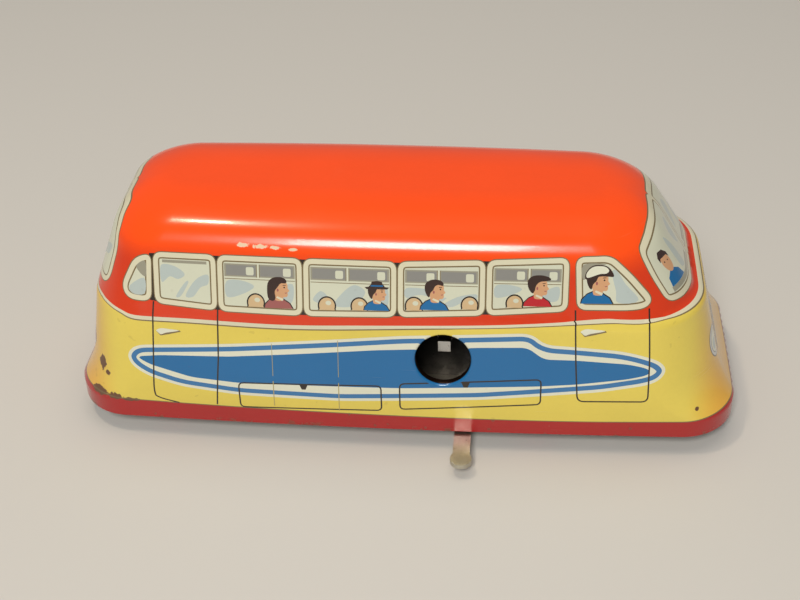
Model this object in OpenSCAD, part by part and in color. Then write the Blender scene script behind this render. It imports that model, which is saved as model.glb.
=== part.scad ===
// Clockwork tin coach: one pressed shell over a base plate, with a wound spring motor on the rear axle.
// Millimetres, +X to the front, +Y to the left, +Z up, and z = 0 on the table under the wheels.

/* [Shell] */
// Length over the skirt
body_l = 120; // [108:1:132]
// Height from the skirt's edge to the top of the roof
body_h = 39.2; // [37.5:0.1:44]
// Clear height of the skirt's edge above the table
skirt_gap = 3.4; // [3:0.1:5]
// Width over the skirt at its corners
skirt_w = 43.8; // [43:0.1:50]
// Width at the top of the flare
waist_w = 43.2; // [41:0.1:43.6]
// Width at the belt, under the windows
belt_w = 40.3; // [37:0.1:42]
// Width at the eaves, over the windows
eaves_w = 33.2; // [31:0.1:36]
// Width of the level strip along the roof's crown
crown_w = 6; // [4:0.1:10]
// How far the sides bow out at mid length
side_bow = 1.3; // [0:0.1:2]
// How far the nose falls back at its sides
nose_bow = 0.3; // [0:0.1:1]
// Height of the upright rim round the skirt
rim_h = 3.6; // [3.4:0.1:5]
// Height of the hollow flare over the rim
flare_h = 7.4; // [5:0.1:9]
// Height of the belt above the skirt's edge
belt_h = 21.6; // [21:0.1:24]
// Height of the eaves above the skirt's edge
eaves_h = 33.4; // [31:0.1:35]
// Thickness of the tin
tin_t = 0.5; // [0.4:0.05:0.7]

/* [Shell ends] */
// Set-back of the nose at the top of the flare
nose_set = 3.6; // [2:0.1:5]
// Set-back of the nose at the belt
cowl_set = 6.2; // [5.2:0.1:8]
// Depth of the ledge under the windscreen
ledge_d = 2.2; // [1:0.1:3]
// Height of the ledge's round edge
ledge_h = 1.7; // [1:0.1:2.5]
// How far the windscreen leans back over its height
screen_run = 6; // [4:0.1:8]
// Length of the roof's front slope in plan
front_slope = 10.6; // [8:0.1:14]
// Set-back of the tail at the top of the flare
tail_set = 3; // [2:0.1:4]
// Set-back of the tail at the belt
tail_belt_set = 4.4; // [4.2:0.1:6]
// How far the rear window leans forward over its height
tail_run = 4; // [3:0.1:6]
// Length of the roof's rear slope in plan
rear_slope = 9.6; // [8:0.1:13]
// Corner radius of the skirt in plan
skirt_r = 9.6; // [7:0.1:13]
// Corner radius of the nose in plan
nose_r = 12.4; // [9:0.1:15]
// Corner radius of the windscreen's top in plan
screen_r = 11.4; // [9:0.1:14]
// Corner radius of the tail in plan
tail_r = 10.2; // [8:0.1:14]
// Corner radius of the rear eaves in plan
tail_eaves_r = 9.8; // [8:0.1:13]

/* [Keyhole] */
// Diameter of the keyhole
keyhole_d = 9.7; // [8:0.1:10.4]
// Place of the keyhole ahead of the middle
keyhole_x = 7.9; // [6:0.1:10]
// Height of the keyhole and the winding arbor above the skirt's edge
keyhole_h = 15.4; // [15:0.1:15.8]
// Depth of the keyhole's turned-in lip, from the outside
lip_depth = 1.8; // [1.4:0.1:2.4]
// How far behind the keyhole's rim the arbor's tip lies
tip_depth = 4; // [3:0.1:6]

/* [Base plate] */
// Thickness of the base plate
base_t = 0.6; // [0.5:0.05:0.8]
// Height of its turned-up flange
flange_h = 2; // [1.5:0.1:2.2]
// Gap between the base plate and the skirt
base_clear = 0.15; // [0.1:0.05:0.25]
// Width of the shell's bent tabs
tab_w = 5; // [4:0.1:7]
// Length of a bent tab under the base plate
tab_reach = 3; // [2:0.1:3.4]

/* [Wheels] */
// Diameter of the road wheels
wheel_d = 15; // [14:0.1:16]
// Width of the road wheels
wheel_w = 4.2; // [3.5:0.1:4.6]
// Distance between the middles of a pair of wheels
track = 31; // [30:0.1:32]
// Diameter of both axles
axle_d = 2; // [1.8:0.1:2.2]
// Distance of the front axle behind the front of the skirt
front_overhang = 24; // [21:0.1:26]
// Gap round a wheel in its slot
slot_clear = 0.8; // [0.6:0.1:1]

/* [Motor] */
// Clear width between the motor's side plates
plate_gap = 15; // [14:0.1:17]
// Thickness of the side plates
plate_t = 0.8; // [0.6:0.05:1]
// Edge of a side plate round its holes
plate_edge = 3; // [2.6:0.1:3.4]
// Diameter of the winding arbor
arbor_d = 3.2; // [2.8:0.1:3.6]
// Side of the arbor's square end
square_a = 2.2; // [1.8:0.1:2.3]
// Length of the arbor's square end
square_l = 3.6; // [3:0.1:4.5]
// Diameter of the second arbor
second_d = 2; // [1.8:0.1:2.4]
// Diameter of the pillars between the side plates
pillar_d = 3; // [2.4:0.1:3.4]
// Radial gap of a shaft in its hole
run_clear = 0.05; // [0.03:0.01:0.09]
// Side play of shafts and gears
side_play = 0.25; // [0.2:0.05:0.35]

/* [Gears] */
// Pitch diameter for each tooth
module_mm = 0.7; // [0.66:0.01:0.72]
// Teeth of the great wheel and the second wheel
wheel_teeth = 36; // [33:1:36]
// Teeth of both pinions
pinion_teeth = 10; // [10:1:11]
// Thickness of the toothed wheels
gear_t = 1; // [0.8:0.05:1.2]
// Play between two meshed teeth
backlash = 0.14; // [0.1:0.01:0.2]
// How far a pinion is longer than its wheel is thick, each end
pinion_over = 0.4; // [0.3:0.05:0.6]

/* [Mainspring] */
// Turns of the mainspring
spring_turns = 8; // [6:1:9]
// Distance from turn to turn
spring_pitch = 1.05; // [0.95:0.01:1.1]
// Thickness of the spring strip
spring_t = 0.4; // [0.3:0.05:0.45]
// Gap beside the spring
spring_side = 0.8; // [0.6:0.1:1]

/* [Stop lever] */
// Width of the stop lever
lever_w = 3; // [2.6:0.1:3.6]
// Thickness of the stop lever
lever_t = 0.8; // [0.6:0.05:1]
// How far the lever stands out from the skirt
lever_reach = 8.4; // [6:0.1:10]
// Place of the lever ahead of the keyhole
lever_ahead = 3.5; // [3:0.1:4]
// Swing of the lever in degrees
lever_swing = 14; // [8:1:16]
// Diameter of the lever's rivet
rivet_d = 2.4; // [2:0.1:2.8]

/* [Hidden] */
$fn = 64;

// Facets of the shell: segments in a corner, along a side, along an end, and rings in each zone
corner_steps = 7;
side_steps = 10;
end_steps = 4;
flare_rings = 6;
side_rings = 3;
ledge_rings = 4;
window_rings = 3;
roof_rings = 9;

// Shell heights above the skirt's edge, and places along the length
flare_top = rim_h + flare_h;
screen_h = belt_h + ledge_h;
roof_rise = body_h - eaves_h;
nose_x = body_l / 2 - nose_set;
cowl_x = body_l / 2 - cowl_set;
screen_x = cowl_x - ledge_d;
front_eaves_x = screen_x - screen_run;
front_crown_x = front_eaves_x - front_slope;
tail_x = -body_l / 2 + tail_set;
tail_belt_x = -body_l / 2 + tail_belt_set;
rear_eaves_x = tail_belt_x + tail_run;
rear_crown_x = rear_eaves_x + rear_slope;
side_lean = (belt_w - eaves_w) / 2 / (eaves_h - belt_h);
screen_lean = screen_run / (eaves_h - screen_h);
tail_lean = tail_run / (eaves_h - belt_h);
// Share of the half width that a corner may round off
full_round = 0.9;
// Height under the belt at which the inside starts to pass behind the ledge
ledge_back = 4;

// Heights above the table
tab_t = tin_t;
base_z = skirt_gap + tab_t;
floor_z = base_z + base_t;
axle_z = wheel_d / 2;
arbor_z = skirt_gap + keyhole_h;

// Gear sizes
pressure = 25;
addendum = 0.8;
dedendum = 1.05;
flank_steps = 3;
wheel_tip_r = module_mm * (wheel_teeth / 2 + addendum);
pinion_tip_r = module_mm * (pinion_teeth / 2 + addendum);
centres = module_mm * (wheel_teeth + pinion_teeth) / 2;
gear_floor = 0.7;
// Size and place of a wheel's openings, and the reach of the click's fingers, as shares of the tip radius
opening_share = 0.25;
opening_place = 0.56;
finger_share = 0.5;

// Places of the shafts
arbor_x = keyhole_x;
second_z = floor_z + wheel_tip_r + gear_floor;
second_x = arbor_x - sqrt(pow(centres, 2) - pow(second_z - arbor_z, 2));
rear_x = second_x - sqrt(pow(centres, 2) - pow(second_z - axle_z, 2));
first_mesh = atan2(second_z - arbor_z, second_x - arbor_x);
last_mesh = atan2(axle_z - second_z, rear_x - second_x);

// Stations across the motor, from the right plate to the left
arbor_r = arbor_d / 2;
axle_r = axle_d / 2;
plate_y = plate_gap / 2;
collar_t = 0.4;
collar_step = 1;
collar_r = arbor_r + collar_step;
collar_y = -plate_y + side_play;
great_y = collar_y + collar_t + side_play;
click_t = 0.4;
click_y = great_y + gear_t + side_play;
left_collar_y = plate_y - side_play - collar_t;
second_y = left_collar_y - gear_t - pinion_over - side_play;
spring_y = click_y + click_t + spring_side;
spring_w = second_y - spring_side - spring_y;
shaft_end = 0.6;
plate_out = plate_y + plate_t;

// Mainspring and pillars, seen from the right with the arbor as centre
spring_clear = 0.1;
hook_clear = 0.05;
spring_in_r = arbor_r + spring_clear + spring_t / 2;
spring_out_r = spring_in_r + spring_turns * spring_pitch;
pillar_r = pillar_d / 2;
pillar_gap = 0.5;
hook_r = pillar_r + hook_clear + spring_t / 2;
pillar_away = wheel_tip_r + pillar_r + pillar_gap;
tail_l = sqrt(pow(pillar_away, 2) - pow(spring_out_r + hook_r, 2));
hook_sweep = 270;
spring_steps = 24;
apex_up = sqrt(pow(pillar_away, 2) - pow(centres / 2, 2));
rear_pillar_away = pinion_tip_r + pillar_r + pillar_gap;
pillars = [[arbor_x + spring_out_r + hook_r, arbor_z - tail_l],
           [(arbor_x + second_x) / 2, (arbor_z + second_z) / 2 + apex_up + pillar_gap],
           [rear_x - rear_pillar_away, axle_z + pillar_r]];
pin_step = 0.6;
pin_r = pillar_r - pin_step;
pin_head_t = 0.5;
pin_clear = 0.03;
foot_w = 4;
foot_drop = 1.2;
foot_clear = 0.1;
feet_x = [second_x - foot_w, arbor_x + spring_out_r];

// Wheels and front bracket
front_x = body_l / 2 - front_overhang;
wheel_y = track / 2;
wheel_in = wheel_y - wheel_w / 2;
wheel_out = wheel_y + wheel_w / 2;
hub_t = 1.4;
hub_r = axle_r + hub_t;
tread_t = 0.8;
web_t = 0.8;
tread_round = 0.5;
spacer_t = 0.8;
spacer_r = axle_r + spacer_t;
bracket_out = 0.7;
bracket_y = plate_out + bracket_out;
bracket_l = 8;
bracket_t = 0.8;
lug_edge = 1.6;
lug_top = axle_z + axle_r + lug_edge;
bracket_rivet_r = 1;
bracket_rivet_in = 3.5;
bracket_rivet_y = bracket_y - bracket_rivet_in;
rivet_head_r = 1.8;
rivet_head_t = 0.5;

// Stop lever
lever_x = keyhole_x + lever_ahead;
lever_gap = 0.4;
lever_top = skirt_gap - lever_gap;
lever_z = lever_top - lever_t;
pivot_out = 5.7;
pivot_y = -plate_out - pivot_out;
lever_swell = 0.4;
lever_tip_r = lever_w / 2 + lever_swell;
eye_edge = 1.5;
lever_eye_r = rivet_d / 2 + eye_edge;
brake_clear = 0.3;
brake_bite = 1;
brake_top = arbor_z - wheel_tip_r + brake_bite;
brake_x = arbor_x + sqrt(pow(wheel_tip_r, 2) - pow(arbor_z - brake_top, 2)) + brake_clear;
brake_in = 0.3;
brake_y = great_y + brake_in;
brake_travel = (brake_y - pivot_y) * sin(lever_swing);
brake_slot = 0.6;
pivot_head_edge = 1;
pivot_head_r = rivet_d / 2 + pivot_head_edge;
pivot_head_t = 0.7;

// Places of the shell's bent tabs, measured from its rear, its middle and the back of the front wheels' slots
rear_tab_in = 18;
middle_tab_back = 4;
front_tab_gap = 0.7;
tabs_x = [rear_tab_in - body_l / 2, -middle_tab_back,
          front_x - wheel_d / 2 - slot_clear - front_tab_gap - tab_w / 2];

// Key part of the wall at the keyhole
keyhole_r = keyhole_d / 2;
wall_lean = atan((waist_w - belt_w) / 2 / (belt_h - flare_top));

// Rounding allowance so that a cut passes clean through
over = 1;

function lerp(a, b, t) = a + (b - a) * t;

// A level of the shell: height, half width, front, rear, front and rear corner radius

// From the skirt's edge to the belt: an upright rim, a hollow flare and a plain side
function lower_level(up) = let (
    h = max(up, rim_h),
    t = (h - flare_top) / (belt_h - flare_top),
    foot = (rim_h - flare_top) / (belt_h - flare_top),
    k = pow(max(0, 1 - (h - rim_h) / flare_h), 2))
    [up,
     lerp(waist_w, belt_w, t) / 2 + k * (skirt_w - lerp(waist_w, belt_w, foot)) / 2,
     lerp(nose_x, cowl_x, t) + k * (body_l / 2 - lerp(nose_x, cowl_x, foot)),
     lerp(tail_x, tail_belt_x, t) - k * (body_l / 2 + lerp(tail_x, tail_belt_x, foot)),
     lerp(nose_r, skirt_r, k),
     lerp(tail_r, skirt_r, k)];

// From the belt to the eaves, with the round ledge under the windscreen
function window_level(up) = let (
    t = (up - belt_h) / (eaves_h - belt_h),
    s = (up - screen_h) / (eaves_h - screen_h),
    q = min(1, (up - belt_h) / ledge_h))
    [up,
     lerp(belt_w, eaves_w, t) / 2,
     s >= 0 ? lerp(screen_x, front_eaves_x, s) : screen_x + ledge_d * sqrt(1 - q * q),
     lerp(tail_belt_x, rear_eaves_x, t),
     lerp(nose_r, screen_r, t),
     lerp(tail_r, tail_eaves_r, t)];

// The roof, from the eaves (t = 0) to the crown (t = 1), tangent to the windows and level at the top
function roof_curve(eaves, lean_in, crown, t) =
    pow(1 - t, 2) * eaves + 2 * t * (1 - t) * (eaves + lean_in) + t * t * crown;
function roof_level(t, drop) = let (
    w = roof_curve(eaves_w / 2, -side_lean * roof_rise, crown_w / 2, t))
    [eaves_h + (roof_rise - drop) * (1 - pow(1 - t, 2)),
     w,
     roof_curve(front_eaves_x, -screen_lean * roof_rise, front_crown_x, t),
     roof_curve(rear_eaves_x, tail_lean * roof_rise, rear_crown_x, t),
     w * lerp(screen_r / (eaves_w / 2), full_round, t),
     w * lerp(tail_eaves_r / (eaves_w / 2), full_round, t)];

outer_levels = [
    lower_level(0),
    for (i = [0:flare_rings]) lower_level(rim_h + flare_h * i / flare_rings),
    for (i = [1:side_rings]) lower_level(lerp(flare_top, belt_h, i / side_rings)),
    for (i = [1:ledge_rings]) window_level(belt_h + ledge_h * sin(90 * i / ledge_rings)),
    for (i = [1:window_rings - 1]) window_level(lerp(screen_h, eaves_h, i / window_rings)),
    for (i = [0:roof_rings]) roof_level(i / roof_rings, 0)];

inner_levels = [
    lower_level(0),
    for (i = [0:flare_rings]) lower_level(rim_h + flare_h * i / flare_rings),
    lower_level(belt_h - ledge_back),
    window_level(screen_h),
    for (i = [0:roof_rings]) roof_level(i / roof_rings, tin_t)];

// A quarter circle, and the points between two places
function arc_points(cx, cy, r, from) =
    [for (i = [0:corner_steps]) let (a = from + 90 * i / corner_steps) [cx + r * cos(a), cy + r * sin(a)]];
function between(a, b, n) = [for (i = [1:n - 1]) lerp(a, b, i / n)];

// The plan of a level, drawn in by an inset: a rectangle with round corners, bowed sides and a bowed nose
function bowed(p, w, xf, xr) = let (
    u = (p[0] - (xf + xr) / 2) / ((xf - xr) / 2),
    v = p[1] / w)
    [p[0] - nose_bow * max(u, 0) * v * v, p[1] + side_bow * v * max(0, 1 - u * u)];
function plan(level, inset) = let (
    w = level[1] - inset,
    xf = level[2] - inset,
    xr = level[3] + inset,
    rf = min(level[4] - inset, full_round * w),
    rr = min(level[5] - inset, full_round * w),
    a = arc_points(xf - rf, w - rf, rf, 0),
    b = arc_points(xr + rr, w - rr, rr, 90),
    c = arc_points(xr + rr, rr - w, rr, 180),
    d = arc_points(xf - rf, rf - w, rf, 270),
    e = corner_steps)
    [for (p = [each a, each between(a[e], b[0], side_steps), each b, each between(b[e], c[0], end_steps),
               each c, each between(c[e], d[0], side_steps), each d, each between(d[e], a[0], end_steps)])
        bowed(p, w, xf, xr)];
function ring(level, inset) = [for (p = plan(level, inset)) [p[0], p[1], level[0]]];

// Middle of a ring's points
function middle(points) = [for (axis = [0:2]) sum([for (p = points) p[axis]]) / len(points)];
function sum(values) = [for (v = values) 1] * values;

// Half width of the shell's outside at a place along it
function wall_y(x, level) = let (
    u = (x - (level[2] + level[3]) / 2) / ((level[2] - level[3]) / 2))
    level[1] + side_bow * max(0, 1 - u * u);

// A closed skin over a chain of rings, with a fan of triangles over each end
module skin(rings) {
    n = len(rings[0]);
    last = len(rings) - 1;
    first_middle = (last + 1) * n;
    faces = [
        for (j = [0:n - 1]) let (k = (j + 1) % n) each [
            [first_middle, j, k],
            for (i = [0:last - 1]) each [
                [i * n + j, (i + 1) * n + j, (i + 1) * n + k],
                [i * n + j, (i + 1) * n + k, i * n + k]],
            [first_middle + 1, last * n + k, last * n + j]]];
    polyhedron(points = [for (r = rings) each r, middle(rings[0]), middle(rings[last])], faces = faces);
}

// Moves a drawing to the wall at the keyhole, with its +Z along the wall's outward normal
module at_keyhole() {
    translate([keyhole_x, -wall_y(keyhole_x, lower_level(keyhole_h)), arbor_z])
        rotate([90 - wall_lean, 0, 0])
            children();
}

// The shell's tabs, bent in under the base plate, each as far out as the rim's inner wall
module bent_tabs() {
    rim = lower_level(0);
    length = tin_t / 2 + base_clear + tab_reach;
    color([0.62, 0.14, 0.13])
        translate([0, 0, skirt_gap])
            linear_extrude(height = tab_t)
                intersection() {
                    polygon(plan(rim, tin_t));
                    union() {
                        for (side = [-1, 1])
                            for (x = tabs_x) let (y = wall_y(x, rim) - tin_t / 2)
                                translate([x - tab_w / 2, side > 0 ? y - length : -y])
                                    square([tab_w, length]);
                        for (end = [-1, 1])
                            translate([end * (body_l - tin_t) / 2 - (end > 0 ? length : 0), -tab_w / 2])
                                square([length, tab_w]);
                    }
                }
}

module body_shell() {
    color([0.98, 0.36, 0.08])
        difference() {
            union() {
                translate([0, 0, skirt_gap])
                    skin([for (i = [len(inner_levels) - 1:-1:0]) ring(inner_levels[i], tin_t),
                          for (level = outer_levels) ring(level, 0)]);
                at_keyhole()
                    translate([0, 0, -lip_depth])
                        cylinder(r = keyhole_r + tin_t, h = lip_depth - tin_t / 2);
            }
            at_keyhole()
                translate([0, 0, -lip_depth - over])
                    cylinder(r = keyhole_r, h = lip_depth + 2 * over);
        }
}

// A rectangular cut through the base plate's floor
module floor_slot(x, y, length, width) {
    translate([x, y, base_z + base_t / 2])
        cube([length, width, base_t + 2 * over], center = true);
}

// A tray with a turned-up flange, inside the skirt and on the bent tabs
module base_plate() {
    edge = lower_level(0);
    gap = tin_t + base_clear;
    color([0.62, 0.6, 0.55])
        difference() {
            translate([0, 0, base_z])
                linear_extrude(base_t + flange_h)
                    polygon(plan(edge, gap));
            translate([0, 0, floor_z])
                linear_extrude(flange_h + over)
                    polygon(plan(edge, gap + base_t));
            for (x = [front_x, rear_x])
                for (side = [-1, 1])
                    floor_slot(x, side * wheel_y, wheel_d + 2 * slot_clear, wheel_w + 2 * slot_clear);
            floor_slot(rear_x, second_y + gear_t / 2,
                       2 * (pinion_tip_r + slot_clear), gear_t + 2 * (pinion_over + slot_clear));
            for (side = [-1, 1])
                for (x = feet_x)
                    floor_slot(x + foot_w / 2, side * (plate_y + plate_t / 2),
                               foot_w + 2 * foot_clear, plate_t + 2 * foot_clear);
            for (side = [-1, 1])
                translate([front_x, side * bracket_rivet_y, base_z - over])
                    cylinder(r = bracket_rivet_r + pin_clear, h = base_t + 2 * over);
            translate([lever_x, pivot_y, base_z - over])
                cylinder(r = rivet_d / 2 + pin_clear, h = base_t + 2 * over);
            floor_slot(brake_x + (lever_t + brake_travel) / 2, brake_y + (gear_t - brake_slot) / 2,
                       lever_t + brake_travel + 2 * brake_slot, gear_t + 3 * brake_slot);
        }
}

// A cylinder along Y, from one station to another
module shaft(x, z, r, from, to) {
    translate([x, to, z])
        rotate([90, 0, 0])
            cylinder(r = r, h = to - from);
}

// A side plate of the motor, with its holes and its two feet through the base plate
module motor_plate(inner_y) {
    difference() {
        translate([0, inner_y + plate_t, 0])
            rotate([90, 0, 0])
                linear_extrude(plate_t)
                    hull() {
                        for (p = concat(pillars, [[arbor_x, arbor_z], [rear_x, axle_z]]))
                            translate(p)
                                circle(r = plate_edge, $fn = 32);
                        for (x = feet_x)
                            translate([x, floor_z])
                                square([foot_w, plate_edge]);
                    }
        translate([-body_l, -body_l, floor_z - body_h])
            cube([2 * body_l, 2 * body_l, body_h]);
        shaft(arbor_x, arbor_z, arbor_r + run_clear, inner_y - over, inner_y + plate_t + over);
        shaft(second_x, second_z, second_d / 2 + run_clear, inner_y - over, inner_y + plate_t + over);
        shaft(rear_x, axle_z, axle_r + run_clear, inner_y - over, inner_y + plate_t + over);
        for (p = pillars)
            shaft(p[0], p[1], pin_r + pin_clear, inner_y - over, inner_y + plate_t + over);
    }
    for (x = feet_x)
        translate([x, inner_y, base_z - foot_drop])
            cube([foot_w, plate_t, foot_drop + base_t + plate_edge / 2]);
}

module right_motor_plate() {
    color([0.72, 0.73, 0.74])
        motor_plate(-plate_out);
}

module left_motor_plate() {
    color([0.72, 0.73, 0.74])
        motor_plate(plate_y);
}

// Distance posts with riveted ends; the mainspring hooks round the front one
module motor_pillars() {
    color([0.66, 0.66, 0.66])
        for (p = pillars) {
            shaft(p[0], p[1], pillar_r, -plate_y, plate_y);
            shaft(p[0], p[1], pin_r, -plate_out - pin_head_t, plate_out + pin_head_t);
            shaft(p[0], p[1], pillar_r, -plate_out - pin_head_t, -plate_out);
            shaft(p[0], p[1], pillar_r, plate_out, plate_out + pin_head_t);
        }
}

// One edge of the spring strip: out along the spiral, down the tail and round the pillar
function spring_edge(side) = [
    for (i = [spring_turns * spring_steps:-1:0]) let (
        a = 360 * i / spring_steps,
        r = spring_out_r - spring_pitch * a / 360 + side * spring_t / 2)
        [r * cos(a), r * sin(a)],
    for (i = [0:spring_steps]) let (
        a = 180 + hook_sweep * i / spring_steps,
        r = hook_r - side * spring_t / 2)
        [spring_out_r + hook_r + r * cos(a), -tail_l + r * sin(a)]];

module mainspring() {
    inside = spring_edge(-1);
    color([0.3, 0.33, 0.42])
        translate([arbor_x, spring_y + spring_w, arbor_z])
            rotate([90, 0, 0])
                linear_extrude(spring_w)
                    polygon(concat(spring_edge(1), [for (i = [len(inside) - 1:-1:0]) inside[i]]));
}

// Involute gear outline with a tooth along +X
function involute(base_r, r) = let (a = acos(min(1, base_r / r))) tan(a) * 180 / PI - a;
function tooth_half(teeth, r) = let (
    pitch_r = module_mm * teeth / 2,
    base_r = pitch_r * cos(pressure))
    (PI * module_mm - backlash) / 4 / pitch_r * 180 / PI + involute(base_r, pitch_r) - involute(base_r, r);
function gear_points(teeth) = let (
    pitch_r = module_mm * teeth / 2,
    root_r = pitch_r - dedendum * module_mm,
    tip_r = pitch_r + addendum * module_mm,
    form_r = max(root_r, pitch_r * cos(pressure)),
    flank = [for (i = [0:flank_steps]) lerp(form_r, tip_r, i / flank_steps)],
    rise = root_r < form_r ? concat([root_r], flank) : flank)
    [for (k = [0:teeth - 1], side = [-1, 1])
        for (i = [0:len(rise) - 1]) let (
            r = rise[side < 0 ? i : len(rise) - 1 - i],
            a = 360 * k / teeth + side * tooth_half(teeth, max(r, form_r)))
            [r * cos(a), r * sin(a)]];

// A gear on a shaft along Y, turned so that a tooth points at an angle
module gear(teeth, x, z, turn, bore_r, from, to) {
    difference() {
        translate([x, to, z])
            rotate([90, 0, 0])
                rotate([0, 0, turn])
                    linear_extrude(to - from)
                        polygon(gear_points(teeth));
        shaft(x, z, bore_r, from - over, to + over);
    }
}

// A toothed wheel with round openings between its spokes
module spoked_wheel(x, z, turn, bore_r, from) {
    openings = 4;
    opening_r = opening_share * wheel_tip_r;
    opening_away = opening_place * wheel_tip_r;
    difference() {
        gear(wheel_teeth, x, z, turn, bore_r, from, from + gear_t);
        for (k = [0:openings - 1]) let (
            a = 45 + 360 * k / openings,
            hole_x = x + opening_away * cos(a),
            hole_z = z + opening_away * sin(a))
            shaft(hole_x, hole_z, opening_r, from - over, from + gear_t + over);
    }
}

module great_wheel() {
    color([0.83, 0.68, 0.3])
        spoked_wheel(arbor_x, arbor_z, first_mesh, arbor_r + run_clear, great_y);
}

// A spring washer on the arbor whose two fingers catch on the great wheel
module click_washer() {
    finger_l = finger_share * wheel_tip_r;
    finger_w = arbor_d;
    color([0.45, 0.47, 0.52])
        difference() {
            union() {
                shaft(arbor_x, arbor_z, collar_r, click_y, click_y + click_t);
                translate([arbor_x - finger_l, click_y, arbor_z - finger_w / 2])
                    cube([2 * finger_l, click_t, finger_w]);
            }
            shaft(arbor_x, arbor_z, arbor_r, click_y - over, click_y + click_t + over);
        }
}

// The shaft that the key turns, with a square end behind the keyhole
module winding_arbor() {
    tip_y = tip_depth - wall_y(keyhole_x, lower_level(keyhole_h));
    color([0.8, 0.8, 0.8]) {
        shaft(arbor_x, arbor_z, arbor_r, tip_y + square_l, plate_out + shaft_end);
        translate([arbor_x - square_a / 2, tip_y, arbor_z - square_a / 2])
            cube([square_a, square_l, square_a]);
    }
}

module collar(y) {
    difference() {
        shaft(arbor_x, arbor_z, collar_r, y, y + collar_t);
        shaft(arbor_x, arbor_z, arbor_r, y - over, y + collar_t + over);
    }
}

module arbor_collars() {
    color([0.7, 0.7, 0.7]) {
        collar(collar_y);
        collar(left_collar_y);
    }
}

module second_arbor() {
    color([0.8, 0.8, 0.8])
        shaft(second_x, second_z, second_d / 2, -plate_out - shaft_end, plate_out + shaft_end);
}

module second_wheel() {
    color([0.83, 0.68, 0.3])
        spoked_wheel(second_x, second_z, last_mesh, second_d / 2, second_y);
}

module second_pinion() {
    color([0.78, 0.62, 0.26])
        gear(pinion_teeth, second_x, second_z, first_mesh + 180 + 180 / pinion_teeth, second_d / 2,
             great_y - pinion_over, great_y + gear_t + pinion_over);
}

// An axle with a riveted end beyond each wheel
module axle(x) {
    shaft(x, axle_z, axle_r, -wheel_out - shaft_end, wheel_out + shaft_end);
}

module rear_axle() {
    color([0.75, 0.75, 0.75])
        axle(rear_x);
}

module axle_pinion() {
    color([0.78, 0.62, 0.26])
        gear(pinion_teeth, rear_x, axle_z, last_mesh + 180 + 180 / pinion_teeth, axle_r,
             second_y - pinion_over, second_y + gear_t + pinion_over);
}

// A pressed wheel: a hub, a dished web near the outer face and a tread with round edges
module road_wheel(x, side) {
    half = wheel_w / 2;
    web = half - web_t - tread_round;
    tread_r = wheel_d / 2;
    inner_r = tread_r - tread_t;
    edge_r = tread_r - tread_round;
    flat = half - tread_round;
    translate([x, side * wheel_y, axle_z])
        rotate([-90 * side, 0, 0])
            rotate_extrude()
                polygon([[axle_r, -half], [hub_r, -half], [hub_r, web], [inner_r, web], [inner_r, -half],
                         [edge_r, -half], [tread_r, -flat], [tread_r, flat], [edge_r, half], [inner_r, half],
                         [inner_r, web + web_t], [hub_r, web + web_t], [hub_r, half], [axle_r, half]]);
}

module rear_right_wheel() {
    color([0.55, 0.12, 0.1])
        road_wheel(rear_x, -1);
}

module rear_left_wheel() {
    color([0.55, 0.12, 0.1])
        road_wheel(rear_x, 1);
}

module front_right_wheel() {
    color([0.55, 0.12, 0.1])
        road_wheel(front_x, -1);
}

module front_left_wheel() {
    color([0.55, 0.12, 0.1])
        road_wheel(front_x, 1);
}

// Tubes on an axle that keep it central between its bearings
module spacers(x, bearing_y) {
    for (side = [-1, 1])
        difference() {
            shaft(x, axle_z, spacer_r, side > 0 ? bearing_y + side_play : -wheel_in,
                  side > 0 ? wheel_in : -bearing_y - side_play);
            shaft(x, axle_z, axle_r, -wheel_out, wheel_out);
        }
}

module rear_spacers() {
    color([0.7, 0.7, 0.7])
        spacers(rear_x, plate_out);
}

module front_axle() {
    color([0.75, 0.75, 0.75])
        axle(front_x);
}

module front_spacers() {
    color([0.7, 0.7, 0.7])
        spacers(front_x, bracket_y);
}

// A strip bent up at both ends, whose lugs carry the front axle
module front_bracket() {
    color([0.66, 0.67, 0.68])
        difference() {
            union() {
                translate([front_x - bracket_l / 2, -bracket_y, floor_z])
                    cube([bracket_l, 2 * bracket_y, bracket_t]);
                for (y = [-bracket_y, bracket_y - bracket_t])
                    translate([front_x - bracket_l / 2, y, floor_z])
                        cube([bracket_l, bracket_t, lug_top - floor_z]);
            }
            shaft(front_x, axle_z, axle_r + run_clear, -bracket_y - over, bracket_y + over);
            for (side = [-1, 1])
                translate([front_x, side * bracket_rivet_y, floor_z - over])
                    cylinder(r = bracket_rivet_r + pin_clear, h = bracket_t + 2 * over);
        }
}

module bracket_rivets() {
    color([0.8, 0.8, 0.8])
        for (side = [-1, 1])
            translate([front_x, side * bracket_rivet_y, 0]) {
                translate([0, 0, base_z - rivet_head_t])
                    cylinder(r = rivet_head_r, h = rivet_head_t);
                translate([0, 0, base_z])
                    cylinder(r = bracket_rivet_r, h = base_t + bracket_t);
                translate([0, 0, floor_z + bracket_t])
                    cylinder(r = rivet_head_r, h = rivet_head_t);
            }
}

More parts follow.
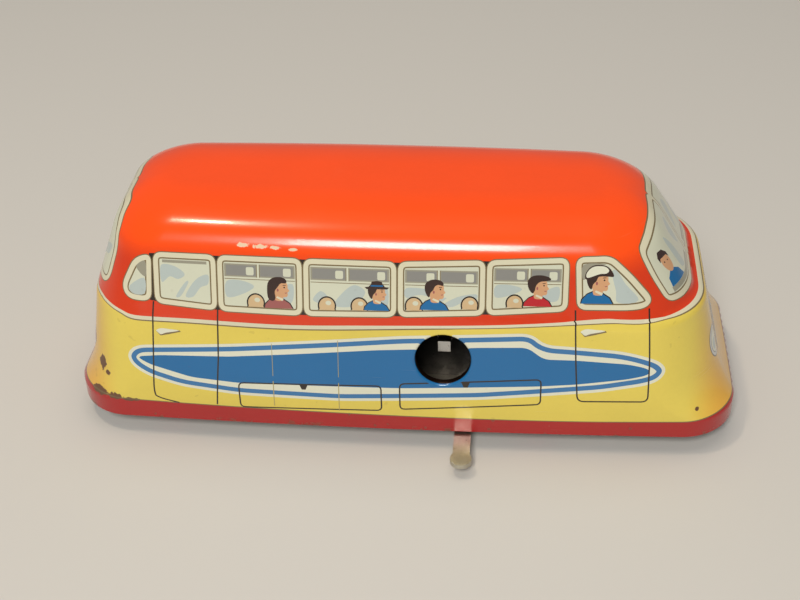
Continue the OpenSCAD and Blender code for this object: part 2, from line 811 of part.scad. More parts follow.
// A flat lever under the base plate: its round tip stands out of the skirt, its tab stops the great wheel
module stop_lever() {
    tip_y = -wall_y(lever_x, lower_level(0)) - lever_reach;
    color([0.82, 0.8, 0.74])
        difference() {
            union() {
                translate([lever_x - lever_w / 2, tip_y + lever_tip_r, lever_z])
                    cube([lever_w, brake_y + gear_t - tip_y - lever_tip_r, lever_t]);
                translate([lever_x, tip_y + lever_tip_r, lever_z])
                    cylinder(r = lever_tip_r, h = lever_t);
                translate([lever_x, pivot_y, lever_z])
                    cylinder(r = lever_eye_r, h = lever_t);
                translate([lever_x - lever_w / 2, brake_y, lever_z])
                    cube([brake_x + lever_t - lever_x + lever_w / 2, gear_t, lever_t]);
                translate([brake_x, brake_y, lever_z])
                    cube([lever_t, gear_t, brake_top - lever_z]);
            }
            translate([lever_x, pivot_y, lever_z - over])
                cylinder(r = rivet_d / 2 + run_clear, h = lever_t + 2 * over);
        }
}

// The lever's pivot: a shoulder under the base plate, a shank and two heads
module lever_rivet() {
    color([0.8, 0.8, 0.8])
        translate([lever_x, pivot_y, 0]) {
            translate([0, 0, lever_z - run_clear - pivot_head_t])
                cylinder(r = pivot_head_r, h = pivot_head_t);
            translate([0, 0, lever_z - run_clear])
                cylinder(r = rivet_d / 2, h = floor_z - lever_z + run_clear);
            translate([0, 0, lever_top + run_clear])
                cylinder(r = pivot_head_r, h = base_z - lever_top - run_clear);
            translate([0, 0, floor_z])
                cylinder(r = pivot_head_r, h = pivot_head_t);
        }
}

body_shell();
bent_tabs();
base_plate();
right_motor_plate();
left_motor_plate();
motor_pillars();
mainspring();
great_wheel();
click_washer();
winding_arbor();
arbor_collars();
second_arbor();
second_wheel();
second_pinion();
rear_axle();
axle_pinion();
rear_right_wheel();
rear_left_wheel();
rear_spacers();
front_axle();
front_right_wheel();
front_left_wheel();
front_spacers();
front_bracket();
bracket_rivets();
stop_lever();
lever_rivet();
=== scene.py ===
"""Clockwork tinplate coach: a drawn and printed shell, and worn metal finishes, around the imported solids.

Lengths in the classes are millimetres unless a line says otherwise. Meshes are written in metres, in the
part's own frame.
"""

import logging
import math
from dataclasses import dataclass, field
from enum import Enum
from typing import ClassVar

import bpy
import numpy as np
from mathutils import Matrix, Vector, kdtree
from mathutils.geometry import delaunay_2d_cdt


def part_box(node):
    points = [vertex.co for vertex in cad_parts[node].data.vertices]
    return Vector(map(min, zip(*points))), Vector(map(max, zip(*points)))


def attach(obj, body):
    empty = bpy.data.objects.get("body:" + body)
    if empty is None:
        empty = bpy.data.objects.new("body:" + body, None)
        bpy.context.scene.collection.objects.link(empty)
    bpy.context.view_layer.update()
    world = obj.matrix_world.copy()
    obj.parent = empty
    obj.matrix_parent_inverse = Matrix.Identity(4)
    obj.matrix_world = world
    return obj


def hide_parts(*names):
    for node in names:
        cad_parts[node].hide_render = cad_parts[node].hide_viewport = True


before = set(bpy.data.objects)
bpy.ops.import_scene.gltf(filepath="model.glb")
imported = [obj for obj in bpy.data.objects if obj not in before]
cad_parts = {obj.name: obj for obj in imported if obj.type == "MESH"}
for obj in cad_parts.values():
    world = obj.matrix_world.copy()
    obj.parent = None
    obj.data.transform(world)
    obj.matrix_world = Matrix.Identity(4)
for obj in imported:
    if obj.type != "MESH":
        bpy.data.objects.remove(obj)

MM = 0.001
TINY = 1e-6
MIRROR = np.array([1, -1, 1])
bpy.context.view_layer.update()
LOG = logging.getLogger("coach")

Point = tuple[float, float]
Outline = list[Point]
Line = tuple[Point, ...]
Place = tuple[float, float, float]
Colour = tuple[float, float, float]
Number = float | np.ndarray
Tree = bpy.types.NodeTree
Node = bpy.types.Node
Socket = bpy.types.NodeSocket
Material = bpy.types.Material
Piece = bpy.types.Object


def linear(rgb: Colour) -> tuple[float, float, float, float]:
    """Turns a display colour of 0 to 255 into scene-linear RGBA, opaque."""
    parts = [c / 255 for c in rgb]
    return tuple(c / 12.92 if c <= 0.04045 else ((c + 0.055) / 1.055) ** 2.4 for c in parts) + (1.0,)


def lerp(a: Number, b: Number, t: Number) -> Number:
    """Value between a and b at share t, for numbers and arrays."""
    return a + (b - a) * t


def smooth_step(low: float, high: float, value: np.ndarray) -> np.ndarray:
    """Eased 0 to 1 as value goes from low to high."""
    t = np.clip((value - low) / (high - low), 0, 1)
    return t * t * (3 - 2 * t)


class Ink(Enum):
    """Printing inks and their colours. The first three are the flooded grounds. The keyhole is cut out."""

    YELLOW = (226, 204, 88)
    ORANGE = (255, 80, 6)
    RIM_RED = (170, 28, 28)
    CREAM = (216, 211, 182)
    LINE = (44, 36, 28)
    SOFT_LINE = (122, 106, 74)
    GLASS = (208, 210, 187)
    SKY = (181, 192, 187)
    SASH = (152, 149, 131)
    SASH_DARK = (138, 137, 131)
    WHITE = (222, 222, 200)
    BLUE = (22, 104, 160)
    PALE_BLUE = (56, 116, 168)
    SKIN = (208, 158, 116)
    HAIR = (58, 40, 34)
    SEAT = (206, 177, 134)
    COAT_RED = (186, 36, 44)
    COAT_ROSE = (158, 92, 88)
    LAMP_RED = (176, 30, 28)
    SILVER = (200, 202, 200)
    RUBBED = (172, 156, 98)
    KEYHOLE = None


GROUNDS = (Ink.YELLOW, Ink.ORANGE, Ink.RIM_RED)


class NodeMaker:
    """A node tree under construction."""

    def __init__(self, tree: Tree) -> None:
        """Keeps the tree that nodes are added to."""
        self.tree = tree

    def join(self, socket: Socket, value: object) -> None:
        """Links a socket to another, or sets its own value.

        Args:
            socket: the input to fill.
            value: an output socket, a number, a vector, a colour or a material.
        """
        if isinstance(value, Socket):
            self.tree.links.new(value, socket)
        else:
            socket.default_value = value

    def add(self, kind: str, *placed: object, operation: str | None = None,
            **named: object) -> Node:
        """Adds a node.

        Args:
            kind: the node's type.
            placed: values of the first inputs, in order.
            operation: what the node works out, where it has a choice.
            named: values of inputs by name, with _ for spaces.

        Returns:
            The node.
        """
        node = self.tree.nodes.new(kind)
        if operation is not None:
            node.operation = operation
        for number, value in enumerate(placed):
            self.join(node.inputs[number], value)
        for label, value in named.items():
            self.join(node.inputs[label.replace("_", " ")], value)
        return node


class Wires(NodeMaker):
    """Short names for the nodes that the finishes are drawn with."""

    def inlet(self, name: str) -> Socket:
        """The group's own input of that name."""
        return self.tree.nodes["in"].outputs[name]

    def outlet(self, name: str, value: Socket) -> None:
        """Feeds the group's output of that name."""
        self.join(self.tree.nodes["out"].inputs[name], value)

    def object_place(self) -> Socket:
        """The point's place on the object, in metres."""
        return self.add("ShaderNodeTexCoord").outputs["Object"]

    def axis(self, name: str) -> Socket:
        """One coordinate of the point's place: X, Y or Z."""
        return self.add("ShaderNodeSeparateXYZ", self.object_place()).outputs[name]

    def _fold(self, operation: str, values: tuple) -> Socket:
        """Runs one operation over two or more values, from the first on.

        Args:
            operation: the Math node's operation.
            values: sockets or numbers.

        Returns:
            The result's socket.
        """
        result = values[0]
        for value in values[1:]:
            result = self.add("ShaderNodeMath", result, value, operation=operation).outputs[0]
        return result

    def plus(self, *values: object) -> Socket:
        """Sum of values."""
        return self._fold("ADD", values)

    def less(self, *values: object) -> Socket:
        """First value less the others."""
        return self._fold("SUBTRACT", values)

    def times(self, *values: object) -> Socket:
        """Product of values."""
        return self._fold("MULTIPLY", values)

    def most(self, *values: object) -> Socket:
        """Largest of values."""
        return self._fold("MAXIMUM", values)

    def vector(self, operation: str, *values: object) -> Socket:
        """Arithmetic on vectors. A length comes out as a value."""
        node = self.add("ShaderNodeVectorMath", *values, operation=operation)
        return node.outputs["Value" if operation == "LENGTH" else "Vector"]

    def scale_colour(self, colour: object, share: object) -> Socket:
        """A colour made lighter or darker by a share."""
        return self.add("ShaderNodeVectorMath", colour, operation="SCALE", Scale=share).outputs["Vector"]

    def noise(self, scale: object, detail: float, roughness: float, stretch: object = None,
              shift: Place | None = None) -> Socket:
        """Noise over the object.

        Args:
            scale: waves to a metre.
            detail: number of octaves.
            roughness: how strong the finer octaves are.
            stretch: how much denser the noise is along each axis.
            shift: where its origin lies, in metres.

        Returns:
            A value of about 0.2 to 0.8.
        """
        place = self.object_place()
        if stretch is not None:
            place = self.vector("MULTIPLY", place, stretch)
        if shift is not None:
            place = self.vector("ADD", place, shift)
        node = self.add("ShaderNodeTexNoise", Vector=place, Scale=scale, Detail=detail, Roughness=roughness)
        return node.outputs["Fac"]

    def ramp(self, value: object, low: float, high: float) -> Socket:
        """Eased 0 to 1 as the value goes from low to high, which may be the smaller one.

        Args:
            value: the value to judge.
            low: where the result is 0.
            high: where the result is 1.

        Returns:
            The eased share.
        """
        start, stop = (1.0, 0.0) if low > high else (0.0, 1.0)
        node = self.add("ShaderNodeMapRange", Value=value, From_Min=min(low, high), From_Max=max(low, high),
                        To_Min=start, To_Max=stop)
        node.interpolation_type = "SMOOTHSTEP"
        return node.outputs["Result"]

    def mix(self, share: object, a: object, b: object) -> Socket:
        """Blends two colours.

        Args:
            share: how much of the second colour.
            a: first colour.
            b: second colour.

        Returns:
            The blended colour.
        """
        node = self.add("ShaderNodeMix")
        node.data_type = "RGBA"
        sockets = {s.identifier: s for s in [*node.inputs, *node.outputs]}
        for name, value in (("Factor_Float", share), ("A_Color", a), ("B_Color", b)):
            self.join(sockets[name], value)
        return sockets["Result_Color"]

    def group(self, tree: Tree, **values: object) -> Node:
        """Places a node group.

        Args:
            tree: the group.
            values: inputs by name.

        Returns:
            The group's node.
        """
        node = self.add("ShaderNodeGroup")
        node.node_tree = tree
        for name, value in values.items():
            self.join(node.inputs[name], value)
        return node


class ShaderGroups:
    """Node groups that several finishes share, each built once."""

    def __init__(self) -> None:
        """Builds the groups."""
        self.scuff = self._scuff()
        self.enamel = self._enamel()
        self.metal = self._metal()

    @staticmethod
    def _start(name: str, inputs: dict[str, object], outputs: tuple[str, ...]) -> Wires:
        """Makes an empty group with its sockets.

        Args:
            name: the group's name.
            inputs: default of each input: a number, a vector of three or a colour of four.
            outputs: names of the outputs, of which Colour is a colour and the others are values.

        Returns:
            Wires on the new tree, which has its input and output nodes.
        """
        kinds = {3: "NodeSocketVector", 4: "NodeSocketColor"}
        tree = bpy.data.node_groups.new(name, "ShaderNodeTree")
        for label, default in inputs.items():
            kind = "NodeSocketFloat" if isinstance(default, float) else kinds[len(default)]
            tree.interface.new_socket(label, in_out="INPUT", socket_type=kind).default_value = default
        for label in outputs:
            kind = "NodeSocketColor" if label == "Colour" else "NodeSocketFloat"
            tree.interface.new_socket(label, in_out="OUTPUT", socket_type=kind)
        tree.nodes.new("NodeGroupInput").name = "in"
        tree.nodes.new("NodeGroupOutput").name = "out"
        return Wires(tree)

    def _scuff(self) -> Tree:
        """A ragged mask round one place on the object.

        Returns:
            A group with the inputs Centre, Reach and Grain, and the output Mask.
        """
        raggedness = 2.2
        inputs = {"Centre": (0, 0, 0), "Reach": (0.002, 0.002, 0.002), "Grain": 900.0}
        w = self._start("scuff", inputs, ("Mask",))
        away = w.vector("SUBTRACT", w.object_place(), w.inlet("Centre"))
        length = w.vector("LENGTH", w.vector("DIVIDE", away, w.inlet("Reach")))
        noise = w.noise(w.inlet("Grain"), detail=4.0, roughness=0.65)
        ragged = w.plus(length, w.times(w.less(noise, 0.5), raggedness))
        w.outlet("Mask", w.ramp(ragged, low=0.95, high=0.72))
        return w.tree

    def _enamel(self) -> Tree:
        """Printed enamel on tin: faint mottling, handling marks, pinholes and a little grime.

        Returns:
            A group that puts out Colour, Roughness and Height.
        """
        broad_mottle, bare_lines, bare_rough, line_rough = 4.0, 0.25, 0.3, 0.25
        broad_rough, broad_rise, fine_rise, bare_sink = 0.12, 0.8, 0.05, 0.35
        w = self._start("worn_enamel",
                        {"Ink": (0.5, 0.5, 0.5, 1), "Under": (0.3, 0.25, 0.2, 1), "Mottle": 0.06,
                         "Pinholes": 0.3, "Scratches": 0.3, "Scuffed": 0.0, "Gloss": 0.2},
                        ("Colour", "Roughness", "Height"))
        broad = w.noise(scale=45.0, detail=3.0, roughness=0.55)
        fine = w.noise(scale=1400.0, detail=2.0, roughness=0.5)
        specks = w.noise(scale=620.0, detail=1.0, roughness=0.4)
        pins = w.times(w.ramp(specks, low=0.735, high=0.76), w.inlet("Pinholes"))
        marks = w.noise(scale=70.0, detail=2.0, roughness=0.5, stretch=(1.0, 1.0, 26.0))
        gates = w.noise(scale=60.0, detail=1.0, roughness=0.5, shift=(0.3, 0.1, 0.7))
        lines = w.times(w.ramp(marks, low=0.66, high=0.72), w.ramp(gates, low=0.52, high=0.66),
                        w.inlet("Scratches"))
        bare = w.most(pins, w.times(lines, bare_lines), w.inlet("Scuffed"))
        mottle = w.inlet("Mottle")
        shade = w.plus(1.0, w.times(w.less(broad, 0.5), w.times(mottle, broad_mottle)),
                       w.times(w.less(fine, 0.5), mottle))
        w.outlet("Colour", w.mix(bare, w.scale_colour(w.inlet("Ink"), shade), w.inlet("Under")))
        w.outlet("Roughness", w.plus(w.inlet("Gloss"), w.times(w.less(broad, 0.4), broad_rough),
                                     w.times(lines, line_rough), w.times(bare, bare_rough)))
        wave = w.plus(w.times(broad, broad_rise), w.times(fine, fine_rise))
        w.outlet("Height", w.less(wave, w.times(bare, bare_sink)))
        return w.tree

    def _metal(self) -> Tree:
        """Worked metal: drawn grain, tarnish in patches and fine pits.

        Returns:
            A group that puts out Colour, Roughness and Height.
        """
        darkest, grain_shade, pit_stain = 0.86, 0.28, 0.5
        grain_rough, stain_rough, grain_rise, pit_sink = 0.25, 0.3, 0.5, 0.6
        w = self._start("worked_metal",
                        {"Metal": (0.5, 0.5, 0.5, 1), "Tarnish": (0.2, 0.16, 0.12, 1), "Amount": 0.4,
                         "Grain": (1, 1, 20), "Polish": 0.3},
                        ("Colour", "Roughness", "Height"))
        grain = w.noise(scale=260.0, detail=3.0, roughness=0.6, stretch=w.inlet("Grain"))
        patches = w.noise(scale=180.0, detail=5.0, roughness=0.62)
        pits = w.ramp(w.noise(scale=2600.0, detail=1.0, roughness=0.4), low=0.7, high=0.78)
        tarnish = w.times(w.ramp(patches, low=0.45, high=0.72), w.inlet("Amount"))
        stain = w.most(tarnish, w.times(pits, pit_stain))
        shade = w.plus(darkest, w.times(grain, grain_shade))
        w.outlet("Colour", w.mix(stain, w.scale_colour(w.inlet("Metal"), shade), w.inlet("Tarnish")))
        w.outlet("Roughness", w.plus(w.inlet("Polish"), w.times(w.less(grain, 0.5), grain_rough),
                                     w.times(stain, stain_rough)))
        w.outlet("Height", w.less(w.times(grain, grain_rise), w.times(pits, pit_sink)))
        return w.tree


def new_material(name: str) -> tuple[Material, Node]:
    """Makes a material.

    Args:
        name: its name.

    Returns:
        The material and its Principled shader.
    """
    material = bpy.data.materials.new(name)
    material.use_nodes = True
    return material, material.node_tree.nodes["Principled BSDF"]


def wire_surface(material: Material, look: Node, bump_mm: float) -> None:
    """Feeds a material's shader from a group's Colour, Roughness and Height.

    Args:
        material: the material.
        look: the group's node in it.
        bump_mm: how deep the bumps are.
    """
    wires, shader = NodeMaker(material.node_tree), material.node_tree.nodes["Principled BSDF"]
    bump = wires.add("ShaderNodeBump", Distance=bump_mm * MM, Height=look.outputs["Height"])
    wires.join(shader.inputs["Base Color"], look.outputs["Colour"])
    wires.join(shader.inputs["Roughness"], look.outputs["Roughness"])
    wires.join(shader.inputs["Normal"], bump.outputs["Normal"])


@dataclass(frozen=True)
class Scuff:
    """A place on the shell where the under colour shows through the ink: its middle, and its reach along each
    axis.
    """

    centre: Place
    reach: Place


@dataclass(frozen=True)
class EnamelFinish:
    """A printed enamel: ink, wear and painted shade. A pair of places says where a change starts and is full.
    """

    name: str
    colour: Colour
    under: Colour = (96, 72, 52)
    mottle: float = 0.05
    pinholes: float = 0.3
    scratches: float = 0.35
    gloss: float = 0.2
    coat: float = 0.3
    coat_rough: float = 0.07
    scuffs: tuple[Scuff, ...] = ()
    # A colour that the ink turns to towards both ends, how much of it, and the places along the coach where
    # the change starts and is full.
    end_colour: Colour | None = None
    end_share: float = 0.75
    nose_ramp: Point = (49.5, 57.5)
    tail_ramp: Point = (-50.0, -57.5)
    # Painted shade: a darker, redder colour for the side below the roof, and the heights where it starts and
    # is full.
    band: Colour | None = None
    side_shade_end: Point = (33.5, 38.5)
    edge_wear: float = 0.0
    edge_place: Point = (4.7, 3.4)
    edge_grain: float = 330.0
    bump_mm: float = 0.05

    def build(self, groups: ShaderGroups) -> Material:
        """Draws the finish's nodes.

        Args:
            groups: the shared node groups.

        Returns:
            The new material.
        """
        material, shader = new_material(self.name)
        shader.inputs["Coat Weight"].default_value = self.coat
        shader.inputs["Coat Roughness"].default_value = self.coat_rough
        w = Wires(material.node_tree)
        ink, worn = linear(self.colour), 0.0
        # Painted shade: below the first height the ink takes the darker band colour, and above the second it
        # keeps its own.
        if self.band is not None:
            low, high = self.side_shade_end
            ink = w.mix(w.ramp(w.axis("Z"), low * MM, high * MM), linear(self.band), ink)
        # Towards both ends the ink turns to the end colour.
        if self.end_colour is not None:
            places = (self.nose_ramp, self.tail_ramp)
            ends = w.most(*(w.ramp(w.axis("X"), low * MM, high * MM) for low, high in places))
            ink = w.mix(w.times(ends, self.end_share), ink, linear(self.end_colour))
        for scuff in self.scuffs:
            spot_at = [c * MM for c in scuff.centre]
            mask = w.group(groups.scuff, Centre=spot_at, Reach=[r * MM for r in scuff.reach]).outputs["Mask"]
            worn = w.most(worn, mask)
        if self.edge_wear:
            high, low = self.edge_place
            near = w.ramp(w.axis("Z"), high * MM, low * MM)
            nibble = w.ramp(w.noise(self.edge_grain, detail=4.0, roughness=0.6), low=0.55, high=0.62)
            worn = w.most(worn, w.times(near, w.times(nibble, self.edge_wear)))
        enamel = w.group(groups.enamel, Ink=ink, Under=linear(self.under), Mottle=self.mottle,
                         Pinholes=self.pinholes, Scratches=self.scratches, Scuffed=worn, Gloss=self.gloss)
        wire_surface(material, enamel, self.bump_mm)
        return material


@dataclass(frozen=True)
class MetalFinish:
    """A bare or lacquered metal: its colour, tarnish and grain."""

    name: str
    colour: Colour
    tarnish: Colour
    amount: float = 0.4
    grain: Place = (1.0, 1.0, 12.0)
    polish: float = 0.32
    bump_mm: float = 0.02

    def build(self, groups: ShaderGroups) -> Material:
        """Draws the finish's nodes.

        Args:
            groups: the shared node groups.

        Returns:
            The new material.
        """
        material, shader = new_material(self.name)
        shader.inputs["Metallic"].default_value = 1.0
        metal = Wires(material.node_tree).group(
            groups.metal, Metal=linear(self.colour), Tarnish=linear(self.tarnish), Amount=self.amount,
            Grain=self.grain, Polish=self.polish)
        wire_surface(material, metal, self.bump_mm)
        return material


class Face(Enum):
    """The sides of the shell that artwork is drawn on."""

    SIDE = "side"
    NOSE = "nose"
    TAIL = "tail"


@dataclass(frozen=True)
class ShellForm:
    """The drawn shell as a formula, with the solid's own sizes.

    A point has a place s round the right half's plan, from the tail's middle to the nose's middle, and a
    place v up the girth, from the skirt's edge to the crown.
    """

    body_l: float = 120.0
    body_h: float = 39.2
    skirt_gap: float = 3.4
    skirt_w: float = 43.8
    waist_w: float = 43.2
    belt_w: float = 40.3
    eaves_w: float = 33.2
    crown_w: float = 6.0
    side_bow: float = 1.3
    nose_bow: float = 0.3
    rim_h: float = 3.6
    flare_h: float = 7.4
    belt_h: float = 21.6
    eaves_h: float = 33.4
    ledge_d: float = 2.2
    ledge_h: float = 1.7
    nose_x: float = 56.4
    cowl_x: float = 53.8
    screen_x: float = 51.6
    front_eaves_x: float = 45.6
    front_crown_x: float = 35.0
    tail_x: float = -57.0
    tail_belt_x: float = -55.6
    rear_eaves_x: float = -51.6
    rear_crown_x: float = -42.0
    skirt_r: float = 9.6
    nose_r: float = 12.4
    screen_r: float = 11.4
    tail_r: float = 10.2
    tail_eaves_r: float = 9.8
    full_round: float = 0.9
    tin_t: float = 0.5
    ledge_ease: float = 0.35
    halvings: int = 40
    end: float = 9.0
    arc: float = 18.0
    side: float = 86.0

    @property
    def total(self) -> float:
        """Nominal length of the half plan."""
        return 2 * self.end + 2 * self.arc + self.side

    @property
    def screen_h(self) -> float:
        """Height of the windscreen's foot, above the ledge."""
        return self.belt_h + self.ledge_h

    @property
    def rise(self) -> float:
        """Height of the roof above the eaves."""
        return self.body_h - self.eaves_h

    @property
    def v_ledge(self) -> float:
        """Girth at the top of the ledge."""
        return self.belt_h + self.ledge_h * math.pi / 2

    @property
    def v_eaves(self) -> float:
        """Girth at the eaves."""
        return self.v_ledge + self.eaves_h - self.screen_h

    @property
    def v_top(self) -> float:
        """Girth at the crown."""
        return self.v_eaves + 2 * self.rise

    @property
    def v_foot(self) -> float:
        """Girth where the rolled edge starts."""
        return self.tin_t / 2

    def height(self, s: np.ndarray, v: np.ndarray) -> tuple[np.ndarray, np.ndarray]:
        """Height above the skirt's edge, and the share of the roof climbed.

        Args:
            s: places round the plan.
            v: places up the girth.

        Returns:
            Heights and roof shares.
        """
        start = self.end + self.arc + self.side
        front = smooth_step(start, start + self.ledge_ease * self.arc, s)
        tau = np.clip((v - self.belt_h) / (self.v_ledge - self.belt_h), 0, 1)
        q = lerp(tau, np.sin(tau * math.pi / 2), front)
        h = np.where(v < self.belt_h, v, np.where(v < self.v_ledge, self.belt_h + self.ledge_h * q,
                                                  self.screen_h + v - self.v_ledge))
        t = np.clip((v - self.v_eaves) / (2 * self.rise), 0, 1)
        return np.where(v > self.v_eaves, self.eaves_h + self.rise * (1 - (1 - t) ** 2), h), t

    def level(self, h: np.ndarray, t: np.ndarray) -> tuple[np.ndarray, ...]:
        """The plan at a height: half width, front, rear, front radius and rear radius.

        Args:
            h: heights above the skirt's edge.
            t: shares of the roof climbed.

        Returns:
            Five arrays.
        """
        flare_top = self.rim_h + self.flare_h
        low = np.maximum(h, self.rim_h)
        b = (low - flare_top) / (self.belt_h - flare_top)
        foot = (self.rim_h - flare_top) / (self.belt_h - flare_top)
        k = np.maximum(0, 1 - (low - self.rim_h) / self.flare_h) ** 2
        half = self.body_l / 2
        lower = (lerp(self.waist_w, self.belt_w, b) / 2
                 + k * (self.skirt_w - lerp(self.waist_w, self.belt_w, foot)) / 2,
                 lerp(self.nose_x, self.cowl_x, b) + k * (half - lerp(self.nose_x, self.cowl_x, foot)),
                 lerp(self.tail_x, self.tail_belt_x, b)
                 - k * (half + lerp(self.tail_x, self.tail_belt_x, foot)),
                 lerp(self.nose_r, self.skirt_r, k), lerp(self.tail_r, self.skirt_r, k))
        m = (h - self.belt_h) / (self.eaves_h - self.belt_h)
        p = (h - self.screen_h) / (self.eaves_h - self.screen_h)
        q = np.clip((h - self.belt_h) / self.ledge_h, 0, 1)
        ledge = self.screen_x + self.ledge_d * np.sqrt(np.clip(1 - q * q, 0, 1))
        middle = (lerp(self.belt_w, self.eaves_w, m) / 2,
                  np.where(p < 0, ledge, lerp(self.screen_x, self.front_eaves_x, p)),
                  lerp(self.tail_belt_x, self.rear_eaves_x, m), lerp(self.nose_r, self.screen_r, m),
                  lerp(self.tail_r, self.tail_eaves_r, m))
        wall = self.eaves_h - self.belt_h
        eaves = self.eaves_w / 2

        def curve(edge: float, lean: float, crown: float) -> np.ndarray:
            """A roof line that leaves the eaves along the wall's lean."""
            return (1 - t) ** 2 * edge + 2 * t * (1 - t) * (edge + lean * self.rise) + t * t * crown

        w = curve(eaves, -(self.belt_w / 2 - eaves) / wall, self.crown_w / 2)
        screen_lean = -(self.screen_x - self.front_eaves_x) / (self.eaves_h - self.screen_h)
        roof = (w, curve(self.front_eaves_x, screen_lean, self.front_crown_x),
                curve(self.rear_eaves_x, (self.rear_eaves_x - self.tail_belt_x) / wall, self.rear_crown_x),
                w * lerp(self.screen_r / eaves, self.full_round, t),
                w * lerp(self.tail_eaves_r / eaves, self.full_round, t))
        out = [np.where(h < self.belt_h, a, np.where(h < self.eaves_h, b2, c))
               for a, b2, c in zip(lower, middle, roof)]
        out[3] = np.minimum(out[3], self.full_round * out[0])
        out[4] = np.minimum(out[4], self.full_round * out[0])
        return tuple(out)

    def point(self, s: np.ndarray, v: np.ndarray) -> np.ndarray:
        """Points of the outer face, in millimetres above the table.

        Args:
            s: places round the plan.
            v: places up the girth.

        Returns:
            An array with three numbers for each point.
        """
        h, t = self.height(s, v)
        w, xf, xr, rf, rr = self.level(h, t)
        a = np.clip(s / self.end, 0, 1)
        b = np.clip((s - self.end) / self.arc, 0, 1) * math.pi / 2
        c = np.clip((s - self.end - self.arc) / self.side, 0, 1)
        d = np.clip((s - self.end - self.arc - self.side) / self.arc, 0, 1) * math.pi / 2
        e = np.clip((s - self.end - 2 * self.arc - self.side) / self.end, 0, 1)
        x = xr + rr * (1 - np.cos(b)) + c * (xf - rf - xr - rr) + rf * np.sin(d)
        y = np.where(s > self.total / 2, -(w - rf) * (1 - e) - rf * np.cos(d),
                     -(w - rr) * a - rr * np.sin(b))
        u = (x - (xf + xr) / 2) / ((xf - xr) / 2)
        g = y / w
        return np.stack([x - self.nose_bow * np.maximum(u, 0) * g * g,
                         y + self.side_bow * g * np.maximum(0, 1 - u * u), h + self.skirt_gap], -1)

    def normal(self, s: np.ndarray, v: np.ndarray, step: float = 0.03) -> np.ndarray:
        """Outward unit normals of the outer face.

        Args:
            s: places round the plan.
            v: places up the girth.
            step: distance of the neighbours that they are measured with.

        Returns:
            An array with three numbers for each point.
        """
        ds = self.point(np.minimum(s + step, self.total), v) - self.point(np.maximum(s - step, 0), v)
        dv = self.point(s, np.minimum(v + step, self.v_top)) - self.point(s, np.maximum(v - step, 0))
        n = np.cross(ds, dv)
        seam = (s < TINY) | (s > self.total - TINY)
        n[..., 1] = np.where(seam, 0, n[..., 1])
        return n / np.linalg.norm(n, axis=-1, keepdims=True)

    def girth(self, s: np.ndarray, h: np.ndarray) -> np.ndarray:
        """Finds places up the girth by halving.

        Args:
            s: places round the plan.
            h: heights above the skirt's edge.

        Returns:
            The places that have these heights.
        """
        low, high = np.zeros_like(h), np.full_like(h, self.v_top)
        for _ in range(self.halvings):
            middle = (low + high) / 2
            above = self.height(s, middle)[0] > h
            low, high = np.where(above, low, middle), np.where(above, middle, high)
        return (low + high) / 2

    def locate(self, face: Face, drawn: np.ndarray) -> np.ndarray:
        """Turns a drawing's points into places on the shell.

        Args:
            face: the side drawn on.
            drawn: for the side, x along the coach and height above the skirt; for an end, the way round
                from its middle and that height.

        Returns:
            The points' s and v.
        """
        a, h = drawn[:, 0], drawn[:, 1]
        t = 1 - np.sqrt(np.clip(1 - (h - self.eaves_h) / self.rise, 0, 1))
        w, xf, xr, rf, rr = self.level(h, np.where(h > self.eaves_h, t, 0))
        if face is Face.SIDE:
            u = (a - (xf + xr) / 2) / ((xf - xr) / 2)
            x = a + self.nose_bow * np.clip(u, 0, 1)
            c = np.clip((x - xr - rr) / (xf - rf - xr - rr), 0, 1)
            b = np.arccos(np.clip(1 - (x - xr) / rr, 0, 1))
            d = np.arcsin(np.clip((x - xf + rf) / rf, 0, 1))
            s = self.end + self.arc * (b + d) / (math.pi / 2) + self.side * c
        else:
            r = rf if face is Face.NOSE else rr
            s = (self.end * np.clip(a / (w - r), 0, 1)
                 + self.arc * np.clip((a - w + r) / (r * math.pi / 2), 0, 1))
            s = self.total - s if face is Face.NOSE else s
        return np.stack([s, np.clip(self.girth(s, h), self.v_foot, self.v_top)], -1)


